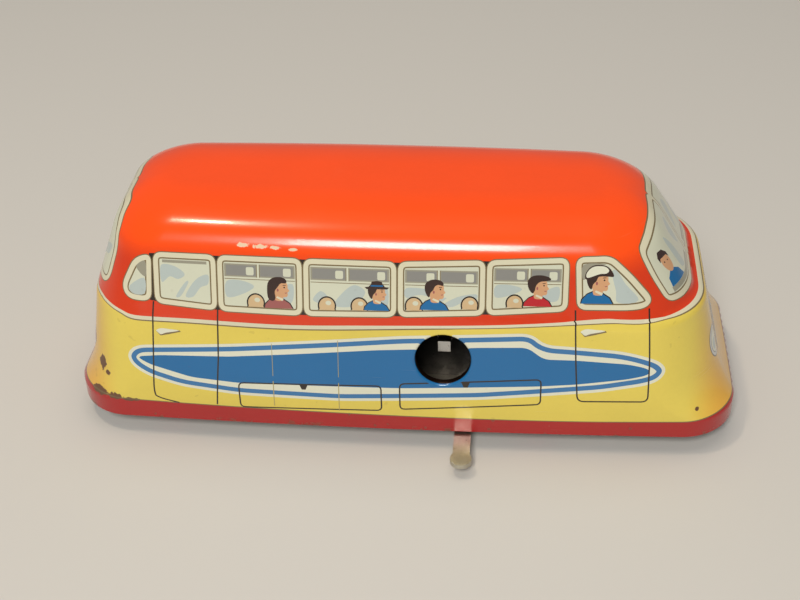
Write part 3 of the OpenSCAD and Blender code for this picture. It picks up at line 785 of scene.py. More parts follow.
class Pen:
    """Outlines that the artwork is drawn with."""

    EDGE_SHARE: ClassVar[float] = 0.48
    SHARPEST: ClassVar[float] = 0.5
    CLEAR_SHARE: ClassVar[float] = 0.97

    @staticmethod
    def box(x0: float, x1: float, low: float, high: float) -> Outline:
        """An upright rectangle."""
        return [(x0, low), (x1, low), (x1, high), (x0, high)]

    @staticmethod
    def dense(outline: Outline, step: float, closed: bool = True) -> np.ndarray:
        """Adds points so that no edge is longer than a step.

        Args:
            outline: the points.
            step: longest edge.
            closed: whether the last point joins the first.

        Returns:
            The denser points.
        """
        pts = np.array(outline, float)
        ends = np.roll(pts, -1, axis=0) if closed else pts[1:]
        out = []
        for p, q in zip(pts, ends):
            n = max(1, math.ceil(np.linalg.norm(q - p) / step))
            out.extend(p + (q - p) * k / n for k in range(n))
        if not closed:
            out.append(pts[-1])
        return np.array(out)

    @staticmethod
    def rounded(corners: Outline, radius: float, steps: int = 6) -> Outline:
        """Rounds each corner of an outline.

        Args:
            corners: the corners in order.
            radius: how far along each edge the rounding starts.
            steps: edges in each rounding.

        Returns:
            The rounded outline.
        """
        out, n = [], len(corners)
        for i, corner in enumerate(corners):
            p, a, b = (np.array(q, float) for q in (corner, corners[i - 1], corners[(i + 1) % n]))
            ra, rb = (min(radius, Pen.EDGE_SHARE * np.linalg.norm(q - p)) for q in (a, b))
            start = p + (a - p) / np.linalg.norm(a - p) * ra
            stop = p + (b - p) / np.linalg.norm(b - p) * rb
            for k in range(steps + 1):
                t = k / steps
                out.append(tuple((1 - t) ** 2 * start + 2 * t * (1 - t) * p + t * t * stop))
        return out

    @staticmethod
    def bent(path: Outline, radius: float, steps: int = 5) -> Outline:
        """An open path whose inner corners are rounded."""
        return [path[0], *Pen.rounded(path, radius, steps)[steps + 1:-steps - 1], path[-1]]

    @staticmethod
    def flowing(points: Outline, closed: bool = True, steps: int = 6) -> Outline:
        """A smooth curve through points.

        Args:
            points: the points in order.
            closed: whether the curve closes.
            steps: edges between two points.

        Returns:
            Points of the curve.
        """
        p = np.array(points, float)
        n = len(p)
        out = []
        for i in range(n if closed else n - 1):
            near = np.arange(i - 1, i + 3)
            a, b, c, d = p[near % n if closed else np.clip(near, 0, n - 1)]
            for k in range(steps):
                t = k / steps
                out.append(tuple(0.5 * (2 * b + (c - a) * t + (2 * a - 5 * b + 4 * c - d) * t * t
                                        + (3 * b - a - 3 * c + d) * t ** 3)))
        if not closed:
            out.append(tuple(p[-1]))
        return out

    @staticmethod
    def grown(outline: Outline, by: float) -> Outline:
        """Moves an outline outwards, or inwards where the distance is negative.

        Args:
            outline: the closed outline.
            by: how far.

        Returns:
            The moved outline.
        """
        p = np.array(outline, float)
        keep = np.linalg.norm(p - np.roll(p, 1, axis=0), axis=1) > TINY
        p = p[keep]
        nxt, prv = np.roll(p, -1, axis=0), np.roll(p, 1, axis=0)
        area = np.sum(p[:, 0] * nxt[:, 1] - nxt[:, 0] * p[:, 1])
        turn = 1.0 if area > 0 else -1.0

        def outward(edge: np.ndarray) -> np.ndarray:
            """Unit normals of edges, away from the inside."""
            n = np.stack([edge[:, 1], -edge[:, 0]], -1) * turn
            return n / np.linalg.norm(n, axis=1, keepdims=True)

        a, b = outward(p - prv), outward(nxt - p)
        m = a + b
        m /= np.maximum(np.linalg.norm(m, axis=1, keepdims=True), TINY)
        share = np.maximum(np.sum(m * b, axis=1, keepdims=True), Pen.SHARPEST)
        moved = p + m / share * by
        edge = nxt - p
        along = np.sum((moved[:, None] - p[None]) * edge[None], -1) / np.sum(edge * edge, -1)
        foot = p[None] + np.clip(along, 0, 1)[..., None] * edge[None]
        clear = np.linalg.norm(moved[:, None] - foot, axis=-1).min(1)
        return [tuple(q) for q in moved[clear > abs(by) * Pen.CLEAR_SHARE]]

    @staticmethod
    def oval(x: float, h: float, rx: float, ry: float, steps: int, start: float = 0.0,
             sweep: float = 360.0) -> Outline:
        """An ellipse, or the part of one between two angles.

        Args:
            x: its middle along the drawing.
            h: its middle's height.
            rx: half width.
            ry: half height.
            steps: edges.
            start: first angle in degrees.
            sweep: angle that it covers.

        Returns:
            The outline.
        """
        count = steps if sweep >= 360 else steps + 1
        turn = [math.radians(start + sweep * k / steps) for k in range(count)]
        return [(x + rx * math.cos(a), h + ry * math.sin(a)) for a in turn]


@dataclass
class Patch:
    """One printed area, as places on the shell."""

    ink: Ink
    outline: np.ndarray


@dataclass
class Sheet:
    """The printed half shell: places, triangles, and each triangle's ground, top ink and keyhole mark."""

    places: np.ndarray
    triangles: np.ndarray
    ground: list[Ink]
    top: list[Ink]
    hole: np.ndarray


class Cloud(Enum):
    """Drawings of the bluish reflections in a pane, as shares of the glass's width and height."""

    SWEPT = (
        ((0.01, 0.86), (0.3, 0.84), (0.5, 0.64), (0.36, 0.5), (0.18, 0.56), (0.01, 0.4)),
        ((0.5, 0.06), (0.72, 0.5), (0.98, 0.66), (0.98, 0.4), (0.82, 0.3), (0.66, 0.04)),
        ((0.3, 0.04), (0.5, 0.42), (0.57, 0.42), (0.4, 0.04)),
    )
    BROAD = (
        ((0.02, 0.9), (0.24, 0.95), (0.42, 0.74), (0.24, 0.42), (0.02, 0.3)),
        ((0.6, 0.1), (0.74, 0.62), (0.97, 0.9), (0.97, 0.24), (0.84, 0.1)),
    )
    TALL = (
        ((0.3, 0.1), (0.4, 0.6), (0.56, 0.95), (0.7, 0.66), (0.54, 0.1)),
        ((0.78, 0.12), (0.84, 0.7), (0.98, 0.88), (0.98, 0.12)),
        ((0.02, 0.3), (0.12, 0.66), (0.22, 0.4), (0.14, 0.16)),
    )


class Hair(Enum):
    """Styles of a passenger's hair or hat."""

    SHORT = "short"
    LONG = "long"
    WIDE = "wide"
    HAT = "hat"
    CAP = "cap"


def spot(x: float, low: float, size: float, place: tuple[float, ...], steps: int) -> Outline:
    """A small oval behind a window. Its place and its half sizes are those of the usual size."""
    across, up, half_w, half_h = (value * size for value in place)
    return Pen.oval(x + across, low + up, half_w, half_h, steps)


@dataclass(frozen=True)
class Seat:
    """The round top of a seat behind a window."""

    x: float
    size: float = 1.0
    half_w: float = 1.35
    half_h: float = 1.4
    middle_up: float = 0.75
    line_w: float = 0.26
    shine: tuple[float, ...] = (0.25, 1.25, 0.5, 0.4)

    def draw(self, art: "CoachPrint", low: float) -> None:
        """Prints the seat.

        Args:
            art: the artwork.
            low: the glass's foot.
        """
        x, size = self.x, self.size
        wide, high = self.half_w * size, self.half_h * size
        for ink, more in ((Ink.LINE, self.line_w), (Ink.SEAT, 0.0)):
            middle = low + self.middle_up * size
            arc = Pen.oval(x, middle, wide + more, high + more, steps=22, start=-20, sweep=220)
            art.paint(ink, arc + [(x - wide - more, low), (x + wide + more, low)], step=art.fine_step)
        art.paint(Ink.GLASS, spot(x, low, size, self.shine, steps=12))


@dataclass(frozen=True)
class Passenger:
    """A plain passenger in profile, looking forwards. Heights start at the glass's foot."""

    x: float
    coat: Ink
    hair: Hair
    size: float = 1.0

    SHOULDERS: ClassVar[Line] = (
        (-2.55, 0), (-2.4, 0.7), (-1.6, 1.5), (-0.6, 1.95), (0.6, 1.7), (1.8, 0.95), (2.35, 0))
    COAT: ClassVar[Line] = (
        (-2.4, 0), (-2.25, 0.6), (-1.55, 1.35), (-0.6, 1.8), (0.55, 1.5), (1.65, 0.85), (2.15, 0))
    FACE: ClassVar[Line] = (
        (-0.6, 1.3), (0.5, 1.25), (0.7, 1.8), (1.2, 1.88), (1.42, 2.2), (1.4, 2.62), (1.68, 2.9), (1.42, 3.3),
        (1.4, 3.8), (1.0, 4.35), (0.0, 4.5), (-1.0, 4.1), (-1.15, 3.1), (-0.8, 2.1))
    COLLAR: ClassVar[Line] = ((-0.5, 1.72), (0.55, 1.2), (0.72, 1.55), (-0.3, 1.95))
    BROW: ClassVar[Line] = ((0.62, 3.75), (1.12, 3.78))
    MOUTH: ClassVar[Line] = ((0.95, 2.5), (1.3, 2.55))
    BROW_W: ClassVar[float] = 0.1
    MOUTH_W: ClassVar[float] = 0.13
    # Place and half sizes of the eye and of the ear.
    EYE: ClassVar[tuple[float, ...]] = (0.86, 3.42, 0.13, 0.13)
    EAR: ClassVar[tuple[float, ...]] = (-0.22, 2.95, 0.16, 0.26)
    LOCKS: ClassVar[dict[Hair, Line]] = {
        Hair.SHORT: ((1.25, 4.0), (1.3, 4.5), (0.6, 4.95), (-0.6, 4.95), (-1.5, 4.4), (-1.7, 3.4),
                     (-1.35, 2.4), (-0.95, 2.1), (-0.75, 2.8), (-0.3, 3.3), (-0.05, 3.85), (0.5, 4.15)),
        Hair.LONG: ((1.1, 4.1), (1.2, 4.6), (0.4, 5.05), (-0.9, 4.95), (-1.75, 4.2), (-1.95, 3.0),
                    (-1.8, 1.6), (-1.1, 1.15), (-0.6, 1.6), (-0.7, 2.7), (-0.25, 3.4), (0.3, 4.05)),
        Hair.WIDE: ((1.95, 4.35), (1.65, 4.8), (0.4, 5.1), (-1.0, 4.95), (-1.75, 4.2), (-1.65, 3.0),
                    (-1.0, 2.15), (-0.6, 2.6), (-0.4, 3.4), (0.2, 4.0), (1.2, 4.15)),
    }
    # Ink, shape and whether it is curved, of each layer of a hat.
    HATS: ClassVar[dict[Hair, tuple]] = {
        Hair.HAT: (
            (Ink.HAIR, ((-2.3, 4.2), (-1.9, 3.85), (1.8, 3.9), (2.2, 4.25), (1.1, 4.35), (0.85, 5.25),
                        (0.0, 5.4), (-1.0, 5.25), (-1.25, 4.35)), False),
            (Ink.BLUE, ((-1.2, 4.36), (1.08, 4.36), (1.02, 4.62), (-1.14, 4.62)), False)),
        Hair.CAP: (
            (Ink.HAIR, ((-1.75, 3.5), (-1.85, 4.5), (-0.9, 5.5), (0.8, 5.55), (1.75, 4.9), (2.2, 3.95),
                        (1.3, 3.95), (0.2, 3.95)), True),
            (Ink.WHITE, ((-1.6, 3.75), (-1.7, 4.5), (-0.8, 5.35), (0.75, 5.4), (1.45, 4.85), (1.1, 4.4),
                         (0.1, 4.3)), True)),
    }

    def _put(self, shape: Line, low: float) -> Outline:
        """Moves a drawn shape to the passenger's place."""
        return [(self.x + a * self.size, low + max(b, 0) * self.size) for a, b in shape]

    def draw(self, art: "CoachPrint", low: float) -> None:
        """Prints the passenger.

        Args:
            art: the artwork.
            low: the glass's foot.
        """
        locks = self.LOCKS.get(self.hair, self.LOCKS[Hair.SHORT])
        layers = ((Ink.LINE, self.SHOULDERS, False), (self.coat, self.COAT, False),
                  (Ink.SKIN, self.FACE, True), (Ink.CREAM, self.COLLAR, False), (Ink.HAIR, locks, True),
                  *self.HATS.get(self.hair, ()))
        for ink, shape, curved in layers:
            outline = self._put(shape, low)
            art.paint(ink, art.curve(outline) if curved else outline, step=art.fine_step)
        art.paint(Ink.LINE, spot(self.x, low, self.size, self.EYE, steps=10))
        art.stroke(Ink.LINE, self._put(self.BROW, low), self.BROW_W * self.size)
        art.stroke(Ink.COAT_ROSE, self._put(self.MOUTH, low), self.MOUTH_W * self.size)
        art.paint(Ink.COAT_ROSE, spot(self.x, low, self.size, self.EAR, steps=10))


@dataclass(frozen=True)
class TopLight:
    """A sliding light at the top of a window: grey panes, a rail, a bar and bright reflections."""

    height: float = 2.7
    side_gap: float = 0.12
    head_gap: float = 0.25
    pane_gap: float = 0.45
    pane_drop: float = 0.5
    bar_gap: float = 0.4
    bar_w: float = 0.18
    bar_shade: float = 0.3
    bar_foot: float = 0.2
    rail_low: float = 0.1
    rail_high: float = 0.22
    shine_far: float = 1.7
    shine_near: float = 0.35
    shine_foot: float = 0.55
    shine_drop: float = 0.75
    shine_r: float = 0.3

    def draw(self, art: "CoachPrint", x0: float, x1: float, bar: float, low: float, high: float) -> None:
        """Prints the light.

        Args:
            art: the artwork.
            x0: the glass's rear edge.
            x1: its front edge.
            bar: place of the upright bar.
            low: height of the rail.
            high: top of the glass.
        """
        top = high - self.head_gap
        left, right = x0 + self.side_gap, x1 - self.side_gap
        art.paint(Ink.SASH, Pen.box(left, right, low, top))
        for a, b in ((x0 + self.pane_gap, bar - self.bar_gap), (bar + self.bar_gap, x1 - self.pane_gap)):
            art.paint(Ink.SASH_DARK, Pen.box(a, b, low + self.pane_gap, high - self.pane_drop))
            shine = Pen.box(b - self.shine_far, b - self.shine_near,
                            low + self.shine_foot, high - self.shine_drop)
            art.paint(Ink.GLASS, Pen.rounded(shine, self.shine_r, steps=3))
        art.paint(Ink.GLASS, Pen.box(left, right, low - self.rail_low, low + self.rail_high))
        art.paint(Ink.SOFT_LINE, Pen.box(left, right, low - self.rail_high, low - self.rail_low))
        shade = self.bar_shade
        art.paint(Ink.SOFT_LINE, Pen.box(bar - shade, bar + shade, low + self.bar_foot, top))
        art.paint(Ink.GLASS, Pen.box(bar - self.bar_w, bar + self.bar_w, low, top))


@dataclass(frozen=True)
class SideWindow:
    """A side window: its edges, its reflections, the bar of its top light, and what is behind it."""

    rear: float
    front: float
    cloud: Cloud
    bar: float | None = None
    behind: tuple[Seat | Passenger, ...] = ()


@dataclass
class CoachPrint:
    """The artwork of the right half, drawn in painter's order. The left half is its mirror image."""

    form: ShellForm
    line_w: float = 0.27
    frame_w: float = 0.85
    edge_w: float = 0.17
    shade_w: float = 0.24
    belt_above: float = 0.34
    belt_below: float = 0.4
    belt_shade: float = 0.64
    pane_r: float = 1.6
    end_pane_r: float = 1.5
    post_lap: float = 0.5
    post_gap: float = 0.15
    cloud_gap: float = 0.2
    cloud_foot: float = 0.15
    strip_gap: float = 0.5
    strip_low: float = 0.65
    strip_high: float = 0.15
    usual_step: float = 0.9
    fine_step: float = 0.5
    line_step: float = 0.45
    curve_steps: int = 4
    keyhole_x: float = 7.9
    keyhole_h: float = 15.4
    hole_r: float = 5.35
    hole_steps: int = 72
    wall_lean: float = 7.789
    plan_steps: tuple[int, ...] = (6, 26, 46, 26, 6)
    girth_steps: tuple[int, ...] = (5, 11, 11, 9, 12, 20)
    grid_gap: float = 0.22
    weld: float = 1e-5
    top_light: TopLight = TopLight()
    patches: list[Patch] = field(default_factory=list)

    # Places round the plan and up the girth.
    belt: Line = (
        (0.0, 23.64), (15.0, 23.33), (17.9, 23.0), (22.7, 22.07), (26.3, 21.3), (36.0, 21.2), (53.5, 20.9),
        (73.0, 21.75), (90.0, 22.7), (107.5, 24.4), (112.0, 24.45), (115.0, 24.35), (118.0, 24.1),
        (121.0, 23.75), (126.0, 23.5), (133.0, 23.45), (140.0, 23.45))
    rim: Line = (
        (0.0, 4.3), (18.0, 4.3), (27.0, 4.0), (48.0, 3.5), (72.0, 3.15), (95.0, 3.1), (112.0, 3.5),
        (124.0, 3.9), (140.0, 4.0))
    # Places along the coach and heights above the skirt's edge.
    sill: Line = ((-43.0, 24.1), (-31.0, 23.2), (-16.0, 23.0), (0.0, 23.4), (15.0, 24.1), (29.0, 25.1))
    head: Line = ((-43.0, 32.9), (-31.0, 32.9), (-16.0, 32.9), (0.0, 32.9), (15.0, 33.5), (29.0, 34.1))
    windows: tuple[SideWindow, ...] = (
        SideWindow(-42.4, -31.4, Cloud.SWEPT),
        SideWindow(-31.1, -16.4, Cloud.BROAD, -24.0,
                   (Seat(-24.5), Passenger(-20.4, Ink.COAT_ROSE, Hair.LONG, 1.07))),
        SideWindow(-16.1, -0.15, Cloud.TALL, -8.5,
                   (Seat(-12.1), Seat(-6.5, 0.95), Passenger(-3.4, Ink.BLUE, Hair.HAT, 0.95))),
        SideWindow(0.15, 14.95, Cloud.SWEPT, 7.1,
                   (Seat(2.9), Passenger(6.5, Ink.BLUE, Hair.SHORT, 1.05), Seat(12.4, 0.95))),
        SideWindow(15.25, 29.0, Cloud.BROAD, 22.4,
                   (Seat(20.0, 0.95), Passenger(24.0, Ink.COAT_RED, Hair.WIDE, 1.04))),
    )
    driver: Passenger = Passenger(34.0, Ink.BLUE, Hair.CAP, 1.16)
    driver_foot: float = 26.45
    flash_edge: Line = (
        (-48.5, 13.7), (-46.7, 15.75), (-29.6, 16.95), (-10.1, 18.85), (0.4, 19.95), (23.0, 21.15),
        (25.4, 18.95), (30.6, 18.65), (38.6, 18.0), (42.6, 17.05), (45.2, 15.95), (46.5, 14.2), (45.5, 12.4),
        (43.0, 11.3), (35.3, 9.85), (14.4, 7.6), (-10.5, 6.2), (-28.5, 6.5), (-39.0, 7.7), (-45.0, 9.6),
        (-47.8, 11.6))
    flash_fill: Line = (
        (-46.8, 13.4), (-42.4, 13.95), (-29.8, 14.4), (-17.2, 15.6), (-4.0, 16.95), (14.3, 18.1),
        (22.5, 18.35), (25.3, 16.1), (30.7, 16.05), (39.8, 15.45), (43.0, 14.75), (43.7, 14.05), (43.0, 13.3),
        (39.8, 12.5), (31.2, 11.3), (24.8, 10.75), (0.3, 9.5), (-28.4, 9.1), (-37.0, 9.8), (-44.5, 12.0))
    flash_edge_r: float = 2.0
    flash_fill_r: float = 1.3
    # How far in the flash's pale blue border and the white inside it start.
    flash_border: Point = (0.58, 1.5)

    def paint(self, ink: Ink, outline: Outline, face: Face = Face.SIDE, step: float | None = None) -> None:
        """Prints an area inside a closed outline. No edge is longer than the step."""
        drawn = Pen.dense(outline, step or self.usual_step)
        self.patches.append(Patch(ink, self.form.locate(face, drawn)))

    def curve(self, points: Outline) -> Outline:
        """A closed curve through a few points."""
        return Pen.flowing(points, steps=self.curve_steps)

    def band(self, ink: Ink, line: Line, below: float, above: float) -> None:
        """Adds a strip that runs round the whole half shell.

        Args:
            ink: its ink.
            line: places round the plan and up the girth that it follows.
            below: how far down the girth it reaches from the line.
            above: how far up.
        """
        foot, top = self.form.v_foot, self.form.v_top
        drawn = Pen.dense(Pen.flowing(list(line), closed=False), self.usual_step, closed=False)
        low, high = (np.stack([drawn[:, 0], np.clip(drawn[:, 1] + d, foot, top)], -1)
                     for d in (-below, above))
        self.patches.append(Patch(ink, np.concatenate([low, high[::-1]])))

    def stroke(self, ink: Ink, path: Outline, width: float, face: Face = Face.SIDE,
               closed: bool = False) -> None:
        """Draws a line of even width.

        Args:
            ink: its ink.
            path: the points that it follows.
            width: its width.
            face: the side drawn on.
            closed: whether the line closes.
        """
        p = Pen.dense(path, self.line_step, closed)
        if closed:
            p = np.vstack([p, p[:1]])
        d = np.gradient(p, axis=0)
        if closed:
            d[0] = d[-1] = p[1] - p[-2]
        n = np.stack([-d[:, 1], d[:, 0]], -1)
        n = n / np.linalg.norm(n, axis=1, keepdims=True) * width / 2
        left, right = p + n, p - n
        for k in range(len(p) - 1):
            drawn = np.array([left[k], right[k], right[k + 1], left[k + 1]])
            self.patches.append(Patch(ink, self.form.locate(face, drawn)))

    def discs(self, x: float, h: float, sizes: tuple[tuple[Ink, float], ...], face: Face, steps: int) -> None:
        """Prints discs on one another, from the lowest to the top one, as for a lamp."""
        for ink, radius in sizes:
            self.paint(ink, Pen.oval(x, h, radius, radius, steps), face)

    @staticmethod
    def _at(line: Line, x: float) -> float:
        """Height of a drawn line at a place."""
        return float(np.interp(x, [p[0] for p in line], [p[1] for p in line]))

    def _inside(self, edge: float, way: int) -> float:
        """Where the glass starts, from its frame's outer edge. The way is 1 or -1."""
        return edge + way * self.frame_w + way * self.shade_w

    def grounds(self) -> None:
        """Floods the shell: orange above the belt, a red rim, and the cream belt. The rest stays yellow."""
        self.band(Ink.ORANGE, self.belt, 0.0, self.form.v_top)
        self.band(Ink.RIM_RED, self.rim, self.form.v_top, 0.0)
        self.band(Ink.SOFT_LINE, self.rim, 0.0, self.edge_w)
        self.band(Ink.SOFT_LINE, self.belt, self.belt_shade, 0.0)
        self.band(Ink.CREAM, self.belt, self.belt_below, self.belt_above)

    def pane(self, corners: Outline, radius: float, face: Face = Face.SIDE) -> None:
        """Prints a window's frame and its glass.

        Args:
            corners: the frame's corners.
            radius: their rounding.
            face: the side drawn on.
        """
        frame_line = Pen.rounded(corners, radius)
        self.paint(Ink.SOFT_LINE, Pen.grown(frame_line, self.edge_w), face)
        self.paint(Ink.CREAM, frame_line, face)
        self.paint(Ink.SOFT_LINE, Pen.grown(frame_line, -self.frame_w), face)
        self.paint(Ink.GLASS, Pen.grown(frame_line, -self.frame_w - self.shade_w), face)

    def clouds(self, cloud: Cloud, x0: float, x1: float, low: float, high: float,
               face: Face = Face.SIDE) -> None:
        """Prints the bluish reflections in a pane, between two edges and two heights."""
        for shape in cloud.value:
            self.paint(Ink.SKY, self.curve([(lerp(x0, x1, u), lerp(low, high, w)) for u, w in shape]), face)

    def side_window(self, window: SideWindow) -> None:
        """Prints one of the even side windows.

        Args:
            window: its places and what is behind it.
        """
        x0, x1 = window.rear, window.front
        middle = (x0 + x1) / 2
        corners = [(x, self._at(self.sill, x)) for x in (x0, middle, x1)]
        corners += [(x, self._at(self.head, x)) for x in (x1, middle, x0)]
        self.pane(corners, self.pane_r)
        a, b = self._inside(x0, 1), self._inside(x1, -1)
        low = self._inside(max(self._at(self.sill, a), self._at(self.sill, b)), 1)
        high = self._inside(min(self._at(self.head, a), self._at(self.head, b)), -1)
        top = high if window.bar is None else high - self.top_light.height
        gap = self.cloud_gap
        self.clouds(window.cloud, a + gap, b - gap, low + self.cloud_foot, top - gap)
        if window.bar is None:
            self.paint(Ink.SASH, Pen.box(a + self.strip_gap, b - self.strip_gap,
                                         high - self.strip_low, high - self.strip_high))
        else:
            self.top_light.draw(self, a, b, window.bar, top, high)
        for thing in window.behind:
            thing.draw(self, self._inside(self._at(self.sill, thing.x), 1))

    def side_windows(self) -> None:
        """Prints the dark posts, the rear quarter light, the even windows and the driver's window."""
        for near, far in zip(self.windows, self.windows[1:]):
            low, high = self._at(self.sill, near.front), self._at(self.head, near.front)
            self.paint(Ink.LINE, Pen.box(near.front - self.post_lap, far.rear + self.post_lap,
                                         low + self.post_gap, high - self.post_gap))
        self.paint(Ink.LINE, [(-43.3, 24.5), (-41.9, 24.3), (-41.9, 32.7), (-43.1, 32.6)])
        self.pane([(-42.75, 32.7), (-43.05, 24.3), (-47.5, 24.4), (-48.6, 26.3), (-46.0, 31.4)], radius=1.7)
        self.paint(Ink.SASH, self.curve([(-43.9, 31.2), (-43.9, 28.5), (-45.6, 30.0)]))
        self.paint(Ink.SKY, self.curve([(-44.2, 25.6), (-44.2, 28.3), (-46.9, 26.6), (-46.5, 25.4)]))
        for window in self.windows:
            self.side_window(window)
        self.pane([(30.1, 34.2), (36.0, 34.35), (39.6, 30.9), (43.3, 26.6), (42.4, 25.4), (30.6, 25.4)],
                  self.pane_r)
        self.paint(Ink.SKY, self.curve([(37.4, 26.7), (37.0, 28.6), (36.2, 31.6), (37.0, 31.9), (38.6, 29.6),
                                        (40.9, 26.8)]))
        self.paint(Ink.SASH, self.curve([(31.5, 30.4), (31.4, 33.0), (35.2, 33.1), (33.4, 32.5)]))
        self.driver.draw(self, self.driver_foot)

    def flash(self) -> None:
        """Prints the blue flash along the side, with its white and blue borders."""
        edge = Pen.rounded(list(self.flash_edge), self.flash_edge_r)
        blue_in, white_in = self.flash_border
        self.paint(Ink.WHITE, edge)
        self.paint(Ink.PALE_BLUE, Pen.grown(edge, -blue_in))
        self.paint(Ink.WHITE, Pen.grown(edge, -white_in))
        self.paint(Ink.BLUE, Pen.rounded(list(self.flash_fill), self.flash_fill_r))

    def doors_and_hatches(self) -> None:
        """Prints the outlines of the doors and of the luggage hatches, with their handles and catches."""
        rear_door = Pen.flowing([(-42.7, 24.3), (-43.0, 21.2), (-43.7, 12.0), (-44.1, 6.3), (-43.3, 4.9),
                                 (-39.8, 3.9)], closed=False)
        front_door = Pen.bent([(30.35, 25.3), (30.8, 16.0), (31.4, 7.8), (43.6, 8.0), (43.4, 16.0),
                               (42.8, 25.2)], radius=1.2)
        for path in (rear_door, [(-31.3, 23.4), (-31.8, 14.0), (-32.8, 4.0)], front_door):
            self.stroke(Ink.LINE, path, self.line_w)
        for corners in ([(-28.5, 9.15), (-28.5, 3.75), (-3.0, 4.4), (-3.0, 9.8)],
                        [(0.3, 10.4), (0.3, 4.85), (25.0, 6.95), (25.0, 12.1)]):
            self.stroke(Ink.LINE, Pen.rounded(corners, radius=0.9, steps=4), self.line_w, closed=True)
        for x, h in ((-16.8, 9.1), (11.9, 10.85)):
            self.paint(Ink.LINE, [(x - 0.75, h + 0.3), (x - 0.35, h - 0.75), (x + 0.35, h - 0.75),
                                  (x + 0.75, h + 0.3)])
        for x, h in ((-42.6, 18.75), (31.4, 21.5)):
            self.paint(Ink.SOFT_LINE, [(x - 0.1, h + 0.1), (x + 0.7, h - 0.85), (x + 2.2, h - 0.5),
                                       (x + 4.4, h + 0.1), (x + 4.2, h + 0.35), (x + 2.6, h + 0.1)])
            self.paint(Ink.WHITE, self.curve([(x, h + 0.15), (x + 0.25, h - 0.2), (x + 0.8, h - 0.6),
                                              (x + 1.7, h - 0.25), (x + 4.1, h + 0.3),
                                              (x + 2.6, h + 0.5), (x + 0.9, h + 0.6)]))
        # Two upright scratches, each with a gap above its lower two fifths.
        for x, low, high in ((-22.3, 4.4, 17.4), (-10.6, 3.9, 18.6)):
            self.stroke(Ink.RUBBED, [(x, low), (x + 0.1, lerp(low, high, 0.42))], width=0.16)
            self.stroke(Ink.RUBBED, [(x + 0.12, lerp(low, high, 0.5)), (x + 0.2, high)], width=0.1)

    def nose(self) -> None:
        """Prints the windscreen with the driver behind it, the lamps and the grille."""
        face = Face.NOSE
        self.pane([(-0.45, 37.0), (5.0, 36.8), (9.4, 36.1), (13.2, 35.0), (15.4, 34.0), (16.7, 29.7),
                   (17.4, 25.2), (14.5, 24.65), (-0.45, 24.5)], self.end_pane_r, face)
        self.clouds(Cloud.BROAD, x0=2.0, x1=9.0, low=26.4, high=34.0, face=face)
        self.paint(Ink.SASH, [(1.9, 25.8), (14.8, 25.9), (14.6, 26.7), (1.9, 26.6)], face)
        coat = [(9.3, 26.7), (10.0, 28.2), (11.2, 28.9), (12.6, 28.9), (13.9, 28.1), (14.4, 26.7)]
        hair = [(10.5, 30.7), (10.5, 31.6), (11.3, 32.4), (12.6, 32.4), (13.3, 31.6), (13.3, 30.7),
                (12.8, 31.3), (11.0, 31.3)]
        head = Pen.oval(11.9, 30.3, 1.25, 1.65, steps=20)
        for ink, shape in ((Ink.BLUE, coat), (Ink.SKIN, head), (Ink.HAIR, hair)):
            self.paint(ink, shape, face, self.fine_step)
        for eye_x in (11.4, 12.4):
            self.paint(Ink.LINE, Pen.oval(eye_x, 30.5, 0.16, 0.13, steps=8), face)
        lamp = ((Ink.LINE, 3.0), (Ink.SILVER, 2.8), (Ink.LINE, 2.2), (Ink.WHITE, 2.05))
        self.discs(10.9, 13.4, lamp, face, steps=32)
        self.paint(Ink.SKY, Pen.oval(11.2, 13.0, 1.2, 1.1, steps=18), face)
        foot, top, foot_w, top_w = 8.6, 15.4, 7.0, 6.0
        for ink, more in ((Ink.LINE, 0.0), (Ink.SILVER, -0.2), (Ink.LINE, -0.55)):
            self.paint(ink, [(0.0, foot - more), (foot_w + more, foot - more), (top_w + more, top + more),
                             (0.0, top + more)], face)
        first, pitch, bar_h, taper = 9.7, 1.15, 0.55, 0.16
        for k in range(5):
            h = first + pitch * k
            self.paint(Ink.SILVER, [(0.0, h), (6.0 - taper * k, h), (5.9 - taper * k, h + bar_h),
                                    (0.0, h + bar_h)], face)

    def tail(self) -> None:
        """Prints the rear window, the boot lid with its slats and handle, and the lamps."""
        face = Face.TAIL
        self.pane([(-0.45, 37.6), (8.0, 37.3), (12.4, 34.8), (14.8, 31.4), (16.4, 26.2), (15.4, 24.8),
                   (-0.45, 24.6)], self.end_pane_r, face)
        self.clouds(Cloud.SWEPT, x0=1.8, x1=13.0, low=26.4, high=33.4, face=face)
        lid = Pen.bent([(0.0, 19.6), (10.6, 19.3), (10.9, 7.2), (0.0, 7.0)], radius=1.6)
        self.stroke(Ink.LINE, lid, self.line_w, face)
        first, pitch, slat_w, slat_h = 9.2, 1.3, 6.6, 0.42
        for k in range(4):
            h = first + pitch * k
            self.paint(Ink.LINE, Pen.rounded(Pen.box(0.0, slat_w, h, h + slat_h), radius=0.2, steps=3), face)
        lamp = ((Ink.LINE, 1.75), (Ink.SILVER, 1.6), (Ink.LINE, 1.25), (Ink.LAMP_RED, 1.15))
        self.discs(14.0, 12.2, lamp, face, steps=28)
        self.paint(Ink.SKIN, Pen.oval(13.7, 12.6, 0.3, 0.3, steps=10), face)
        self.paint(Ink.SILVER, Pen.box(0.0, 1.7, 17.0, 17.5), face)

    def keyhole(self) -> None:
        """Cuts the round hole for the key."""
        high = self.hole_r * math.cos(math.radians(self.wall_lean))
        self.paint(Ink.KEYHOLE, Pen.oval(self.keyhole_x, self.keyhole_h, self.hole_r, high, self.hole_steps))

    @staticmethod
    def _spread(stops: list[float], counts: tuple[int, ...]) -> np.ndarray:
        """Places between stops, each once, with a count of even steps for each gap."""
        parts = [np.linspace(a, b, n + 1) for a, b, n in zip(stops, stops[1:], counts)]
        return np.unique(np.concatenate(parts))

